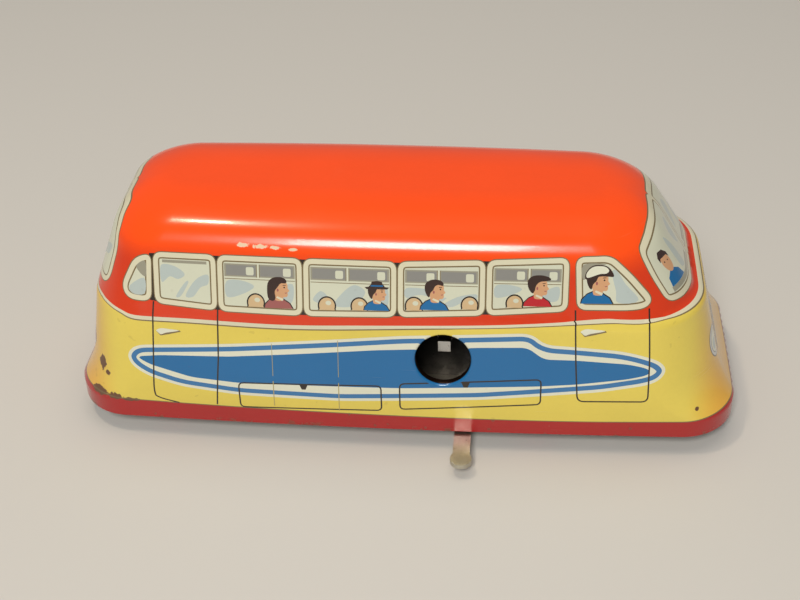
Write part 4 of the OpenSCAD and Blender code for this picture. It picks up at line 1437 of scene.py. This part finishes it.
    def _grid(self) -> np.ndarray:
        """Lays out places that keep the triangles small where the shell bends.

        Returns:
            Places round the plan and up the girth.
        """
        form = self.form
        plan = np.cumsum([0, form.end, form.arc, form.side, form.arc, form.end])
        girth = [form.v_foot, form.rim_h, form.rim_h + form.flare_h, form.belt_h, form.v_ledge, form.v_eaves,
                 form.v_top]
        s = self._spread(plan, self.plan_steps)
        v = np.unique(self._spread(girth, self.girth_steps).round(9))
        return np.stack(np.meshgrid(s, v), -1).reshape(-1, 2)

    @staticmethod
    def _ordered(outline: np.ndarray) -> np.ndarray:
        """Turns an outline the same way as the others, to start at its longest edge.

        Args:
            outline: the closed outline.

        Returns:
            The same points in their new order.
        """
        after = np.roll(outline, -1, axis=0)
        if np.sum(outline[:, 0] * after[:, 1] - after[:, 0] * outline[:, 1]) < 0:
            outline = outline[::-1]
        lengths = np.linalg.norm(np.roll(outline, -1, axis=0) - outline, axis=1)
        return np.roll(outline, -int(np.argmax(lengths)), axis=0)

    def _clear_grid(self, art: np.ndarray) -> np.ndarray:
        """Leaves out the grid's places that are too near a drawn one, apart from its border.

        Args:
            art: the drawn places.

        Returns:
            The grid's places that stay.
        """
        tree = kdtree.KDTree(len(art))
        for i, p in enumerate(art):
            tree.insert((p[0], p[1], 0.0), i)
        tree.balance()
        form, grid = self.form, self._grid()
        end_gap = np.minimum(grid[:, 0], form.total - grid[:, 0])
        edge_gap = np.minimum(grid[:, 1] - form.v_foot, form.v_top - grid[:, 1])
        border = (end_gap < TINY) | (edge_gap < TINY)
        keep = [b or tree.find((p[0], p[1], 0.0))[2] > self.grid_gap for p, b in zip(grid, border)]
        return grid[np.array(keep)]

    def lay(self) -> Sheet:
        """Joins all the outlines and the grid into one mesh of triangles.

        Returns:
            The printed half shell.
        """
        outlines = [self._ordered(patch.outline) for patch in self.patches]
        faces, count = [], 0
        for outline in outlines:
            faces.append(list(range(count, count + len(outline))))
            count += len(outline)
        art = np.concatenate(outlines)
        verts = [Vector(p) for p in np.concatenate([art, self._clear_grid(art)])]
        out_v, _, out_f, _, _, from_f = delaunay_2d_cdt(verts, [], faces, 0, self.weld)
        ground, top, hole = [], [], []
        for ids in from_f:
            flood = [i for i in ids if self.patches[i].ink in GROUNDS]
            film = [i for i in ids if self.patches[i].ink is not Ink.KEYHOLE]
            ground.append(self.patches[max(flood)].ink if flood else Ink.YELLOW)
            top.append(self.patches[max(film)].ink if film else Ink.YELLOW)
            hole.append(len(film) < len(ids))
        places, triangles = (np.array([tuple(row) for row in rows]) for rows in (out_v, out_f))
        return Sheet(places, triangles, ground, top, np.array(hole))

    def draw(self) -> Sheet:
        """Draws everything in order and lays it.

        Returns:
            The printed half shell.
        """
        self.grounds()
        self.flash()
        self.side_windows()
        self.doors_and_hatches()
        self.nose()
        self.tail()
        self.keyhole()
        return self.lay()


def new_piece(name: str, points: np.ndarray, faces: list, finishes: list[Material],
              slots: list[int] | None = None, normals: np.ndarray | None = None) -> Piece:
    """Makes a smooth-shaded mesh object.

    Args:
        name: the object's name.
        points: its points in millimetres.
        faces: point numbers of each face, in order as seen from outside.
        finishes: materials.
        slots: material number of each face.
        normals: a normal for each point, or None for those of the faces.

    Returns:
        The object, linked to the scene.
    """
    faces = [[int(i) for i in dict.fromkeys(f)] for f in faces]
    slots = [0] * len(faces) if slots is None else slots
    slots = [k for k, f in zip(slots, faces) if len(f) > 2]
    faces = [f for f in faces if len(f) > 2]
    used = np.unique(np.concatenate([np.array(f) for f in faces]))
    order = np.full(len(points), -1)
    order[used] = np.arange(len(used))
    mesh = bpy.data.meshes.new(name)
    mesh.from_pydata((points[used] * MM).tolist(), [], [[int(order[i]) for i in f] for f in faces])
    for finish in finishes:
        mesh.materials.append(finish)
    mesh.polygons.foreach_set("material_index", slots)
    mesh.polygons.foreach_set("use_smooth", [True] * len(faces))
    mesh.update()
    if normals is not None:
        mesh.normals_split_custom_set_from_vertices(normals[used].tolist())
    piece = bpy.data.objects.new(name, mesh)
    bpy.context.scene.collection.objects.link(piece)
    return piece


@dataclass
class PrintedShell:
    """The drawn shell with its turned edge and keyhole collar, and a thin film for each printing ink.

    The shell's slots are the grounds, the inside, the bore's bare edge, then the inks that the collar shows.
    """

    form: ShellForm
    sheet: Sheet
    keyhole: Place = (7.9, -22.268, 18.8)
    key_axis: Place = (0.0, -0.990774, 0.135528)
    collar_r: float = 4.85
    collar_round: float = 0.5
    collar_depth: float = 1.8
    collar_turns: tuple[float, ...] = (22.5, 45, 67.5, 90)
    collar_prints: int = 3
    lip: float = 0.12
    film_gap: float = 0.001
    film_up: float = 0.012
    film_down: float = 0.01
    hem_steps: int = 6
    snap: float = 1e-4

    INSIDE: ClassVar[int] = len(GROUNDS)
    BORE: ClassVar[int] = INSIDE + 1
    FIRST_INK: ClassVar[int] = BORE + 1

    def __post_init__(self) -> None:
        """Works out the points, the normals and the seam of the right half."""
        form, snap, tri = self.form, self.snap, self.sheet.triangles
        s, v = self.sheet.places[:, 0], self.sheet.places[:, 1]
        self.s = np.where(s < snap, 0, np.where(s > form.total - snap, form.total, s))
        self.v = np.where(v < form.v_foot + snap, form.v_foot, np.where(v > form.v_top - snap, form.v_top, v))
        self.seam = (self.s == 0) | (self.s == form.total)
        self.outer = form.point(self.s, self.v)
        self.outer[self.seam, 1] = 0
        self.normals = form.normal(self.s, self.v)
        a, b, c = (self.sheet.places[tri[:, k]] for k in range(3))
        turn = (b[:, 0] - a[:, 0]) * (c[:, 1] - a[:, 1]) - (b[:, 1] - a[:, 1]) * (c[:, 0] - a[:, 0])
        self.tri = np.where(turn[:, None] < 0, tri[:, ::-1], tri)

    def _row(self, level: float) -> np.ndarray:
        """Point numbers along a level edge of the half shell, from the tail to the nose."""
        row = np.flatnonzero(self.v == level)
        return row[np.argsort(self.s[row])]

    @staticmethod
    def _rim(triangles: np.ndarray) -> list[tuple[int, int]]:
        """Edges that only one of the triangles has, in that triangle's direction."""
        edges = {(int(t[k]), int(t[(k + 1) % 3])) for t in triangles for k in range(3)}
        return [e for e in edges if (e[1], e[0]) not in edges]

    def _hem(self, skin: np.ndarray, back: np.ndarray) -> tuple[np.ndarray, np.ndarray, list[np.ndarray]]:
        """Rolls the skirt's edge from the outer face to the inner one.

        Args:
            skin: outer points.
            back: inner points.

        Returns:
            New points, their normals, and each ring's point numbers, from the outer face to the inner one.
        """
        foot, start = self._row(self.form.v_foot), len(skin) + len(back)
        middle = (skin[foot] + back[foot]) / 2
        half_t = self.form.tin_t / 2
        reach = np.array([half_t - self.film_up / 2, half_t - self.film_up / 2, half_t])
        points, normals, rings = [], [], [foot]
        for k in range(1, self.hem_steps):
            turn = math.pi * k / self.hem_steps
            way = self.normals[foot] * math.cos(turn) - np.array([0, 0, math.sin(turn)])
            rings.append(np.arange(start, start + len(foot)))
            points.append(middle + way * reach)
            normals.append(way)
            start += len(foot)
        return np.concatenate(points), np.concatenate(normals), [*rings, foot + len(skin)]

    def build(self, grounds: list[Material], inside: Material, bore: Material,
              inks: dict[Ink, Material]) -> Piece:
        """Makes the shell.

        Args:
            grounds: materials of the yellow, the orange and the red.
            inside: material of the bare inner face.
            bore: material of the keyhole's bare edge.
            inks: material of each ink.

        Returns:
            The shell.
        """
        n, top = len(self.outer), self._row(self.form.v_top)
        skin = self.outer - self.normals * self.film_up
        back = self.outer - self.normals * self.form.tin_t
        hem, hem_normals, rings = self._hem(skin, back)
        faces = [list(t) for t in self.tri] + [list(t[::-1] + n) for t in self.tri]
        slots = [GROUNDS.index(g) for g in self.sheet.ground] + [self.INSIDE] * len(self.tri)
        for upper, lower in zip(rings, rings[1:]):
            for k in range(len(upper) - 1):
                faces.append([upper[k + 1], upper[k], lower[k], lower[k + 1]])
                slots.append(GROUNDS.index(Ink.RIM_RED))
        right = np.concatenate([skin, back, hem])
        facing = np.concatenate([self.normals, -self.normals, hem_normals])
        count = len(right)
        on_seam = np.abs(right[:, 1]) < TINY / 10
        facing[on_seam, 1] = 0
        other = np.where(on_seam, np.arange(count), np.arange(count) + count)
        hole = self.sheet.hole
        gone = np.concatenate([hole, hole, np.zeros(len(faces) - 2 * len(hole), bool)])
        all_faces = [f for f, g in zip(faces, gone) if not g]
        all_faces += [[other[i] for i in reversed(f)] for f in faces]
        all_slots = [k for k, g in zip(slots, gone) if not g] + slots
        for a, b in zip(top, top[1:]):
            all_faces += [[a, b, other[b], other[a]], [other[a + n], other[b + n], b + n, a + n]]
            all_slots += [GROUNDS.index(Ink.ORANGE), self.INSIDE]
        collar, collar_normals, collar_faces, printed = self._collar(skin, 2 * count)
        shown = list(dict.fromkeys(printed))
        all_faces += collar_faces
        all_slots += [self.BORE if ink is None else self.FIRST_INK + shown.index(ink) for ink in printed]
        finishes = [*grounds, inside, bore] + [inks.get(ink, inside) for ink in shown]
        points = np.concatenate([right, right * MIRROR, collar])
        normals = np.concatenate([facing, facing * MIRROR, collar_normals])
        return new_piece("printed_shell", points, all_faces, finishes, all_slots, normals)

    def _collar(self, skin: np.ndarray, start: int) -> tuple[np.ndarray, np.ndarray, list, list]:
        """Turns in the edge of the keyhole.

        Args:
            skin: outer points.
            start: number of the first new point.

        Returns:
            New points, their normals, the faces and each face's ink, or None where it is bare.
        """
        after = dict(self._rim(self.tri[self.sheet.hole]))
        edge = [next(iter(after))]
        while after[edge[-1]] != edge[0]:
            edge.append(after[edge[-1]])
        edge = np.array(edge)
        centre, axis = np.array(self.keyhole), np.array(self.key_axis)
        away = skin[edge] - centre
        depth = away @ axis
        radial = away - depth[:, None] * axis
        wide = np.linalg.norm(radial, axis=1)
        radial /= wide[:, None]
        r, d, c, lip = self.collar_r, self.collar_depth, self.collar_round, self.lip
        # Radius, depth, and the normal's shares along the radius and along the axis, of each ring.
        steps = [(wide - (wide - r) * math.sin(a), depth - c + c * math.cos(a), -math.sin(a), math.cos(a))
                 for a in (math.radians(turn) for turn in self.collar_turns)]
        even = np.ones_like(wide)
        steps += [(even * w, even * z, across, along)
                  for w, z, across, along in ((r, lip - d, -1.0, 0.0), (r + lip, -d, -0.6, -0.8),
                                              (r + c - lip, -d, 0.6, -0.8), (r + c, lip - d, 1.0, 0.0))]
        points = [centre + radial * w[:, None] + axis * z[:, None] for w, z, _, _ in steps]
        normals = [radial * across + axis * along for _, _, across, along in steps]
        m = len(edge)
        new_rings = [np.arange(start + k * m, start + (k + 1) * m) for k in range(len(steps))]
        rings = [edge, *new_rings, edge + len(skin)]
        faces = [[a[k], a[(k + 1) % m], b[(k + 1) % m], b[k]]
                 for a, b in zip(rings, rings[1:]) for k in range(m)]
        stays = ~self.sheet.hole
        beside = {(int(t[k]), int(t[(k + 1) % 3])): ink
                  for t, ink in zip(self.tri[stays], np.array(self.sheet.top)[stays]) for k in range(3)}
        around = [beside[(int(edge[(k + 1) % m]), int(edge[k]))] for k in range(m)]
        # The hatch's line stops at the collar, which shows the flash's blue there.
        around = [Ink.BLUE if ink is Ink.LINE else ink for ink in around]
        printed = around * self.collar_prints + [None] * (len(faces) - self.collar_prints * m)
        return np.concatenate(points), np.concatenate(normals), faces, printed

    def films(self, inks: dict[Ink, Material]) -> list[Piece]:
        """Makes a closed thin film for each ink.

        Args:
            inks: material of each ink.

        Returns:
            The films.
        """
        n = len(self.outer)
        other = np.where(self.seam, np.arange(n), np.arange(n) + n)
        high = self.outer - self.normals * self.film_gap
        low = self.outer - self.normals * (self.film_up + self.film_down)
        points = np.concatenate([high, high * MIRROR, low, low * MIRROR])
        normals = np.concatenate([self.normals, self.normals * MIRROR, -self.normals, -self.normals * MIRROR])
        made = []
        for ink, finish in inks.items():
            mine = np.array([t is ink for t in self.sheet.top])
            if not mine.any():
                continue
            upper = np.concatenate([self.tri[mine & ~self.sheet.hole], other[self.tri[mine]][:, ::-1]])
            faces = [list(t) for t in upper] + [list(t[::-1] + 2 * n) for t in upper]
            faces += [[a, a + 2 * n, b + 2 * n, b] for a, b in self._rim(upper)]
            made.append(new_piece(f"print_{ink.name.lower()}", points, faces, [finish], None, normals))
        return made


class NodeTree(NodeMaker):
    """A geometry tree under construction."""

    def __init__(self, name: str, **inputs: str) -> None:
        """Makes the tree with its sockets.

        Args:
            name: the tree's name.
            inputs: kind of each input's socket, by its name.
        """
        super().__init__(bpy.data.node_groups.new(name, "GeometryNodeTree"))
        sockets = self.tree.interface
        for label, kind in {"Geometry": "Geometry", **inputs}.items():
            sockets.new_socket(label, in_out="INPUT", socket_type=f"NodeSocket{kind}")
        sockets.new_socket("Geometry", in_out="OUTPUT", socket_type="NodeSocketGeometry")
        self.source = self.add("NodeGroupInput").outputs

    def end(self, geometry: Socket) -> None:
        """Realizes the instances, sets the material and feeds the output.

        Args:
            geometry: what the tree has made.
        """
        real = self.add("GeometryNodeRealizeInstances", geometry).outputs[0]
        dressed = self.add("GeometryNodeSetMaterial", Geometry=real, Material=self.source["Finish"])
        self.add("NodeGroupOutput", dressed.outputs[0])

    def grow(self, carrier: Piece, values: dict[str, object]) -> None:
        """Runs the tree on an object and keeps the result as a plain mesh.

        Args:
            carrier: the object whose mesh goes in and is changed.
            values: inputs by name.
        """
        modifier = carrier.modifiers.new(self.tree.name, "NODES")
        modifier.node_group = self.tree
        for item in self.tree.interface.items_tree:
            if item.in_out == "INPUT" and item.name in values:
                modifier[item.identifier] = values[item.name]
        bpy.context.view_layer.update()
        grown = carrier.evaluated_get(bpy.context.evaluated_depsgraph_get())
        mesh = bpy.data.meshes.new_from_object(grown)
        carrier.modifiers.remove(modifier)
        carrier.data = mesh


@dataclass
class PressedWheel:
    """A tinplate disc wheel with a rolled tread, a raised ring and pressed domes.

    The profile gives radii and distances from the wheel's middle plane, outwards. Its faces from the first to
    the last of tread_faces are the tread.
    """

    node: str
    axle: str
    body: str
    outward: int
    profile: Line = (
        (2.3, -2.1), (2.3, 0.5), (4.0, 0.35), (5.6, 0.7), (6.5, 0.5), (6.6, -1.95), (6.9, -2.1),
        (7.22, -1.95), (7.42, -1.6), (7.5, -1.2), (7.5, 1.2), (7.42, 1.6), (7.22, 1.95), (6.9, 2.1),
        (6.6, 2.0), (6.4, 1.55), (5.75, 1.3), (5.0, 1.3), (4.2, 1.2), (3.0, 1.1), (2.5, 1.4), (2.2, 1.9),
        (1.8, 2.1))
    half_w: float = 2.1
    tread_faces: tuple[int, int] = (6, 14)
    segments: int = 64
    sharp_angle: float = 40.0
    dome_count: int = 5
    dome_place: float = 4.3
    dome_face: float = 1.2
    dome_r: float = 0.95
    dome_up: float = 0.55

    def build(self, finish: Material, tread: Material, domes: NodeTree) -> list[Piece]:
        """Turns the wheel and sets its domes.

        Args:
            finish: material of the disc.
            tread: material of the rolled tread.
            domes: the tree that sets a ring of domes.

        Returns:
            The disc and its domes.
        """
        low, high = (np.array(c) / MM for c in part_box(self.node))
        axle = [np.array(c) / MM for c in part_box(self.axle)]
        bore = (axle[1][2] - axle[0][2]) / 2
        cx, cy, cz = (low + high) / 2
        loop = [(bore, -self.half_w), *self.profile, (bore, self.half_w)]
        m = len(loop)
        turn = np.arange(self.segments) * 2 * math.pi / self.segments
        points = np.array([[cx + r * math.cos(a), cy + self.outward * d, cz + r * math.sin(a)]
                           for a in turn for r, d in loop])
        faces, slots = [], []
        first, last = self.tread_faces
        for i in range(self.segments):
            a, b = i * m, (i + 1) % self.segments * m
            for k in range(m):
                face = [a + k, a + (k + 1) % m, b + (k + 1) % m, b + k]
                faces.append(face if self.outward > 0 else face[::-1])
                slots.append(1 if first <= k <= last else 0)
        disc = new_piece(f"{self.node}_disc", points, faces, [finish, tread], slots)
        disc.data.set_sharp_from_angle(angle=math.radians(self.sharp_angle))
        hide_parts(self.node)
        corner = np.array([[cx, cy, cz], [cx + 1, cy, cz], [cx, cy, cz + 1]])
        carrier = new_piece(f"{self.node}_domes", corner, [[0, 1, 2]], [finish])
        domes.grow(carrier, {"Finish": finish, "Count": self.dome_count, "Ring": self.dome_place * MM,
                             "Centre": (cx * MM, (cy + self.outward * self.dome_face) * MM, cz * MM),
                             "Dome": (self.dome_r * MM, self.dome_up * MM, self.dome_r * MM)})
        for piece in (disc, carrier):
            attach(piece, self.body)
        return [disc, carrier]

    @staticmethod
    def dome_tree() -> NodeTree:
        """The tree that sets domes at even steps round the wheel's axis.

        Returns:
            The tree, with the inputs Finish, Count, Ring, Centre and Dome.
        """
        t = NodeTree("ring_of_domes", Finish="Material", Count="Int", Ring="Float", Centre="Vector",
                     Dome="Vector")
        into = t.source
        ring = t.add("GeometryNodeMeshCircle", Vertices=into["Count"], Radius=into["Ring"])
        stood = t.add("GeometryNodeTransform", Geometry=ring.outputs[0], Rotation=(math.pi / 2, 0.0, 0.0),
                      Translation=into["Centre"])
        ball = t.add("GeometryNodeMeshUVSphere", Segments=20, Rings=12, Radius=1.0)
        smooth = t.add("GeometryNodeSetShadeSmooth", Geometry=ball.outputs[0])
        placed = t.add("GeometryNodeInstanceOnPoints", Points=stood.outputs[0], Instance=smooth.outputs[0],
                       Scale=into["Dome"])
        t.end(placed.outputs[0])
        return t


@dataclass
class StiffeningBeads:
    """Half-round beads pressed into the underside of the base plate."""

    radius: float = 0.9
    sunk: float = 0.55
    corner_r: float = 2.4
    corner_steps: int = 8
    sides: int = 12
    loops: tuple[Line, ...] = (
        ((-51.0, -12.0), (-33.0, -12.0), (-33.0, 12.0), (-51.0, 12.0)),
        ((-46.5, -7.5), (-37.5, -7.5), (-37.5, 7.5), (-46.5, 7.5)),
        ((47.0, -9.0), (52.5, -9.0), (52.5, 9.0), (47.0, 9.0)))

    def build(self, finish: Material) -> Piece:
        """Lays the paths and runs the bead along them.

        Args:
            finish: its material.

        Returns:
            The beads.
        """
        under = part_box("base_plate")[0].z + self.sunk * MM
        points, edges = [], []
        for corners in self.loops:
            loop = Pen.rounded(list(corners), self.corner_r, self.corner_steps)
            first = len(points)
            points += [(x * MM, y * MM, under) for x, y in loop]
            edges += [(first + k, first + (k + 1) % len(loop)) for k in range(len(loop))]
        mesh = bpy.data.meshes.new("base_beads")
        mesh.from_pydata(points, edges, [])
        carrier = bpy.data.objects.new("base_beads", mesh)
        bpy.context.scene.collection.objects.link(carrier)
        t = NodeTree("bead_along_path", Finish="Material", Radius="Float")
        path = t.add("GeometryNodeMeshToCurve", Mesh=t.source["Geometry"])
        profile = t.add("GeometryNodeCurvePrimitiveCircle", Resolution=self.sides, Radius=t.source["Radius"])
        bead = t.add("GeometryNodeCurveToMesh", Curve=path.outputs[0], Profile_Curve=profile.outputs[0])
        smooth = t.add("GeometryNodeSetShadeSmooth", Geometry=bead.outputs[0])
        t.end(smooth.outputs[0])
        t.grow(carrier, {"Finish": finish, "Radius": self.radius * MM})
        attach(carrier, "root")
        return carrier


@dataclass(frozen=True)
class Lamp:
    """A rectangular lamp that faces the coach: its place and size in metres, its watts and linear colour."""

    name: str
    place: Place
    size: Point
    power: float
    colour: Colour
    mirrored: bool = True
    aim: Place = (0.0, 0.0, 0.025)

    def hang(self) -> None:
        """Hangs the lamp. Shiny faces mirror it only where mirrored is set."""
        data = bpy.data.lights.new(self.name, "AREA")
        data.shape = "RECTANGLE"
        data.size, data.size_y = self.size
        data.energy = self.power
        data.color = self.colour
        lamp = bpy.data.objects.new(self.name, data)
        lamp.location = self.place
        lamp.visible_glossy = self.mirrored
        lamp.rotation_euler = (Vector(self.aim) - Vector(self.place)).to_track_quat("-Z", "Y").to_euler()
        bpy.context.scene.collection.objects.link(lamp)


@dataclass(frozen=True)
class Studio:
    """The photograph's view, with soft light and a plain floor. Angles are degrees, clips are metres."""

    yaw: float = 5.7
    elevation: float = 34.05
    roll: float = -1.45
    distance: float = 256.6
    aim_z: float = 23.4
    angle: float = 32.22
    shift: Point = (-0.00975, -0.0434)
    clip: Point = (0.01, 20)
    lamps: tuple[Lamp, ...] = (
        Lamp("key", (-0.066, -0.7, 0.66), (0.27, 0.3), power=6.1, colour=(1.0, 0.97, 0.93)),
        Lamp("warm", (-0.185, 0.0, 0.62), (0.055, 0.03), power=0.6, colour=(1.0, 0.82, 0.6)),
        Lamp("overhead", (0.0, 0.1, 0.7), (0.5, 0.5), power=1.3, colour=(1.0, 0.9, 0.75), mirrored=False),
    )
    floor_half: float = 3000.0
    floor_colour: Colour = (205, 203, 198)
    floor_rough: float = 0.8
    air_colour: tuple[float, ...] = (0.93, 0.96, 1.0, 1.0)
    air_strength: float = 0.2

    def build(self) -> None:
        """Sets the camera, the lamps, the floor and the colours of the picture."""
        self._camera()
        for lamp in self.lamps:
            lamp.hang()
        self._surroundings()
        bpy.context.scene.view_settings.view_transform = "Standard"

    def _camera(self) -> None:
        """Points the camera as the photograph was taken."""
        yaw, el, roll = (math.radians(a) for a in (self.yaw, self.elevation, self.roll))
        back = Vector((math.sin(yaw) * math.cos(el), -math.cos(yaw) * math.cos(el), math.sin(el)))
        right = Vector((math.cos(yaw), math.sin(yaw), 0))
        up = back.cross(right)
        across = right * math.cos(roll) + up * math.sin(roll)
        upward = up * math.cos(roll) - right * math.sin(roll)
        data = bpy.data.cameras.new("camera")
        data.sensor_fit = "HORIZONTAL"
        data.angle = math.radians(self.angle)
        data.shift_x, data.shift_y = self.shift
        data.clip_start, data.clip_end = self.clip
        camera = bpy.data.objects.new("camera", data)
        bpy.context.scene.collection.objects.link(camera)
        turn = Matrix((across, upward, back)).transposed().to_4x4()
        place = Vector((0, 0, self.aim_z * MM)) + back * self.distance * MM
        camera.matrix_world = Matrix.Translation(place) @ turn
        bpy.context.scene.camera = camera

    def _surroundings(self) -> None:
        """Lays a pale floor and lights the air round it."""
        material, shader = new_material("floor")
        shader.inputs["Base Color"].default_value = linear(self.floor_colour)
        shader.inputs["Roughness"].default_value = self.floor_rough
        half = self.floor_half
        corners = np.array([[x, y, 0] for x, y in Pen.box(-half, half, -half, half)])
        new_piece("floor", corners, [[0, 1, 2, 3]], [material])
        world = bpy.data.worlds.new("studio")
        bpy.context.scene.world = world
        world.use_nodes = True
        air = world.node_tree.nodes["Background"]
        air.inputs["Color"].default_value = self.air_colour
        air.inputs["Strength"].default_value = self.air_strength


@dataclass
class Coach:
    """The whole coach: printed shell, wheels, beads, and the finishes of the solids that stay."""

    groups: ShaderGroups
    brown: Colour = (104, 70, 44)
    skirt_scuffs: tuple[Scuff, ...] = (
        Scuff((-55.0, -20.6, 7.8), (2.1, 3.0, 1.0)),
        Scuff((-51.8, -22.0, 7.7), (1.9, 3.0, 0.7)),
        Scuff((-48.8, -22.3, 7.4), (1.8, 3.0, 0.5)),
    )
    # Brown patches at the corners; the largest lies where the rear flare meets the wall.
    corner_patches: tuple[Scuff, ...] = (
        Scuff((-54.0, -19.3, 13.4), (0.9, 2.0, 1.9)),
        Scuff((-52.9, -20.4, 11.9), (0.6, 2.0, 0.5)),
        Scuff((52.4, -21.0, 9.1), (0.4, 2.0, 0.45)),
    )
    roof_scuffs: tuple[Scuff, ...] = (
        Scuff((-26.6, -17.0, 38.1), (1.6, 2.0, 0.4)),
        Scuff((-23.6, -17.2, 38.0), (1.7, 2.0, 0.4)),
        Scuff((-21.0, -17.2, 37.9), (1.1, 2.0, 0.3)),
        Scuff((-17.6, -17.4, 37.7), (0.9, 2.0, 0.25)),
    )

    def _grounds(self) -> list[Material]:
        """Makes the shell's flooded enamels.

        Returns:
            The yellow, the orange and the red, in the order of GROUNDS.
        """
        yellow, orange, red = (ink.value for ink in GROUNDS)
        finishes = (
            # The yellow turns golden orange towards both ends of the coach.
            EnamelFinish("enamel_yellow", yellow, self.brown, scuffs=self.skirt_scuffs + self.corner_patches,
                         end_colour=(226, 160, 60), pinholes=0.12),
            # The orange's band is painted shade: the sides below the eaves are darker and redder than the
            # roof.
            EnamelFinish("enamel_orange", orange, (226, 196, 160), scuffs=self.roof_scuffs,
                         band=(214, 58, 18), mottle=0.04, pinholes=0.0, scratches=0.15),
            EnamelFinish("enamel_red", red, self.brown, scuffs=self.skirt_scuffs, edge_wear=0.85,
                         pinholes=0.5),
        )
        return [finish.build(self.groups) for finish in finishes]

    def shell(self) -> None:
        """Builds and dresses the printed shell and its inks."""
        grounds = self._grounds()
        tin = MetalFinish("tin_inside", (188, 184, 172), (120, 104, 80), amount=0.35)
        bare = MetalFinish("collar_bare", (84, 60, 48), (46, 32, 24), amount=0.6, polish=0.46)
        inside, bore = (finish.build(self.groups) for finish in (tin, bare))
        inks = {}
        for ink in Ink:
            if ink not in (*GROUNDS, Ink.KEYHOLE):
                name = f"ink_{ink.name.lower()}"
                finish = EnamelFinish(name, ink.value, self.brown, mottle=0.03, pinholes=0.06)
                inks[ink] = finish.build(self.groups)
        form = ShellForm()
        printed = PrintedShell(form, CoachPrint(form).draw())
        body = printed.build(grounds, inside, bore, {**inks, Ink.YELLOW: grounds[0]})
        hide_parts("body_shell")
        films = printed.films(inks)
        for piece in (body, *films):
            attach(piece, "root")
            LOG.info("%s: %d faces", piece.name, len(piece.data.polygons))
        self._dress(grounds[GROUNDS.index(Ink.RIM_RED)], "bent_tabs")

    def running_gear(self) -> None:
        """Builds the wheels."""
        tin = MetalFinish("wheel_tin", (196, 196, 190), (110, 96, 76), amount=0.3, polish=0.28)
        black = EnamelFinish("wheel_black", (38, 37, 36), (120, 116, 108), gloss=0.34, coat=0.1)
        disc, tread = (finish.build(self.groups) for finish in (tin, black))
        domes = PressedWheel.dome_tree()
        for axle, body in (("rear", "rear_axle_set"), ("front", "front_axle_set")):
            for side, outward in (("right", -1), ("left", 1)):
                wheel = PressedWheel(f"{axle}_{side}_wheel", f"{axle}_axle", body, outward)
                for piece in wheel.build(disc, tread, domes):
                    LOG.info("%s: %d faces", piece.name, len(piece.data.polygons))

    def under_side(self) -> None:
        """Presses the beads and dresses the base plate, the front bracket and the lever."""
        base = MetalFinish("base_tin", (176, 170, 156), (96, 78, 56),
                           amount=0.5, grain=(6.0, 1.0, 1.0), polish=0.36)
        tin = base.build(self.groups)
        beads = StiffeningBeads().build(tin)
        LOG.info("%s: %d faces", beads.name, len(beads.data.polygons))
        self._dress(tin, "base_plate", "front_bracket")
        lever = MetalFinish("lever_tin", (206, 202, 188), (110, 96, 72),
                            amount=0.3, grain=(8.0, 1.0, 1.0), polish=0.4)
        self._dress(lever.build(self.groups), "stop_lever")

    def motor(self) -> None:
        """Dresses the clockwork and the axles."""
        # Painted shade: the plates' steel is made dark so that the inside seen through the keyhole stays
        # black.
        plate = MetalFinish("motor_steel", (92, 90, 88), (50, 44, 38),
                            amount=0.5, grain=(1.0, 1.0, 10.0), polish=0.5)
        shaft = MetalFinish("shaft_steel", (198, 198, 196), (110, 98, 84),
                            amount=0.3, grain=(1.0, 10.0, 1.0), polish=0.22)
        brass = MetalFinish("gear_brass", (206, 170, 92), (110, 80, 40),
                            amount=0.45, grain=(4.0, 1.0, 4.0), polish=0.28)
        spring = MetalFinish("spring_steel", (74, 82, 104), (60, 48, 40),
                             amount=0.35, grain=(6.0, 1.0, 6.0), polish=0.26)
        solids = (
            (plate, ("right_motor_plate", "left_motor_plate")),
            (shaft, ("motor_pillars", "winding_arbor", "arbor_collars", "second_arbor", "rear_axle",
                     "rear_spacers", "front_axle", "front_spacers", "bracket_rivets", "lever_rivet")),
            (brass, ("great_wheel", "second_wheel", "second_pinion", "axle_pinion")),
            (spring, ("mainspring", "click_washer")),
        )
        for finish, nodes in solids:
            self._dress(finish.build(self.groups), *nodes)

    @staticmethod
    def _dress(finish: Material, *nodes: str) -> None:
        """Gives solids their finish.

        Args:
            finish: the material.
            nodes: names of the solids.
        """
        for name in nodes:
            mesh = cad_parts[name].data
            mesh.materials.clear()
            mesh.materials.append(finish)
            LOG.info("%s: %s", name, finish.name)


def main() -> None:
    """Builds the coach and the studio."""
    logging.basicConfig(level=logging.INFO, format="%(name)s %(message)s")
    coach = Coach(ShaderGroups())
    coach.shell()
    coach.running_gear()
    coach.under_side()
    coach.motor()
    Studio().build()


if __name__ == "__main__":
    main()
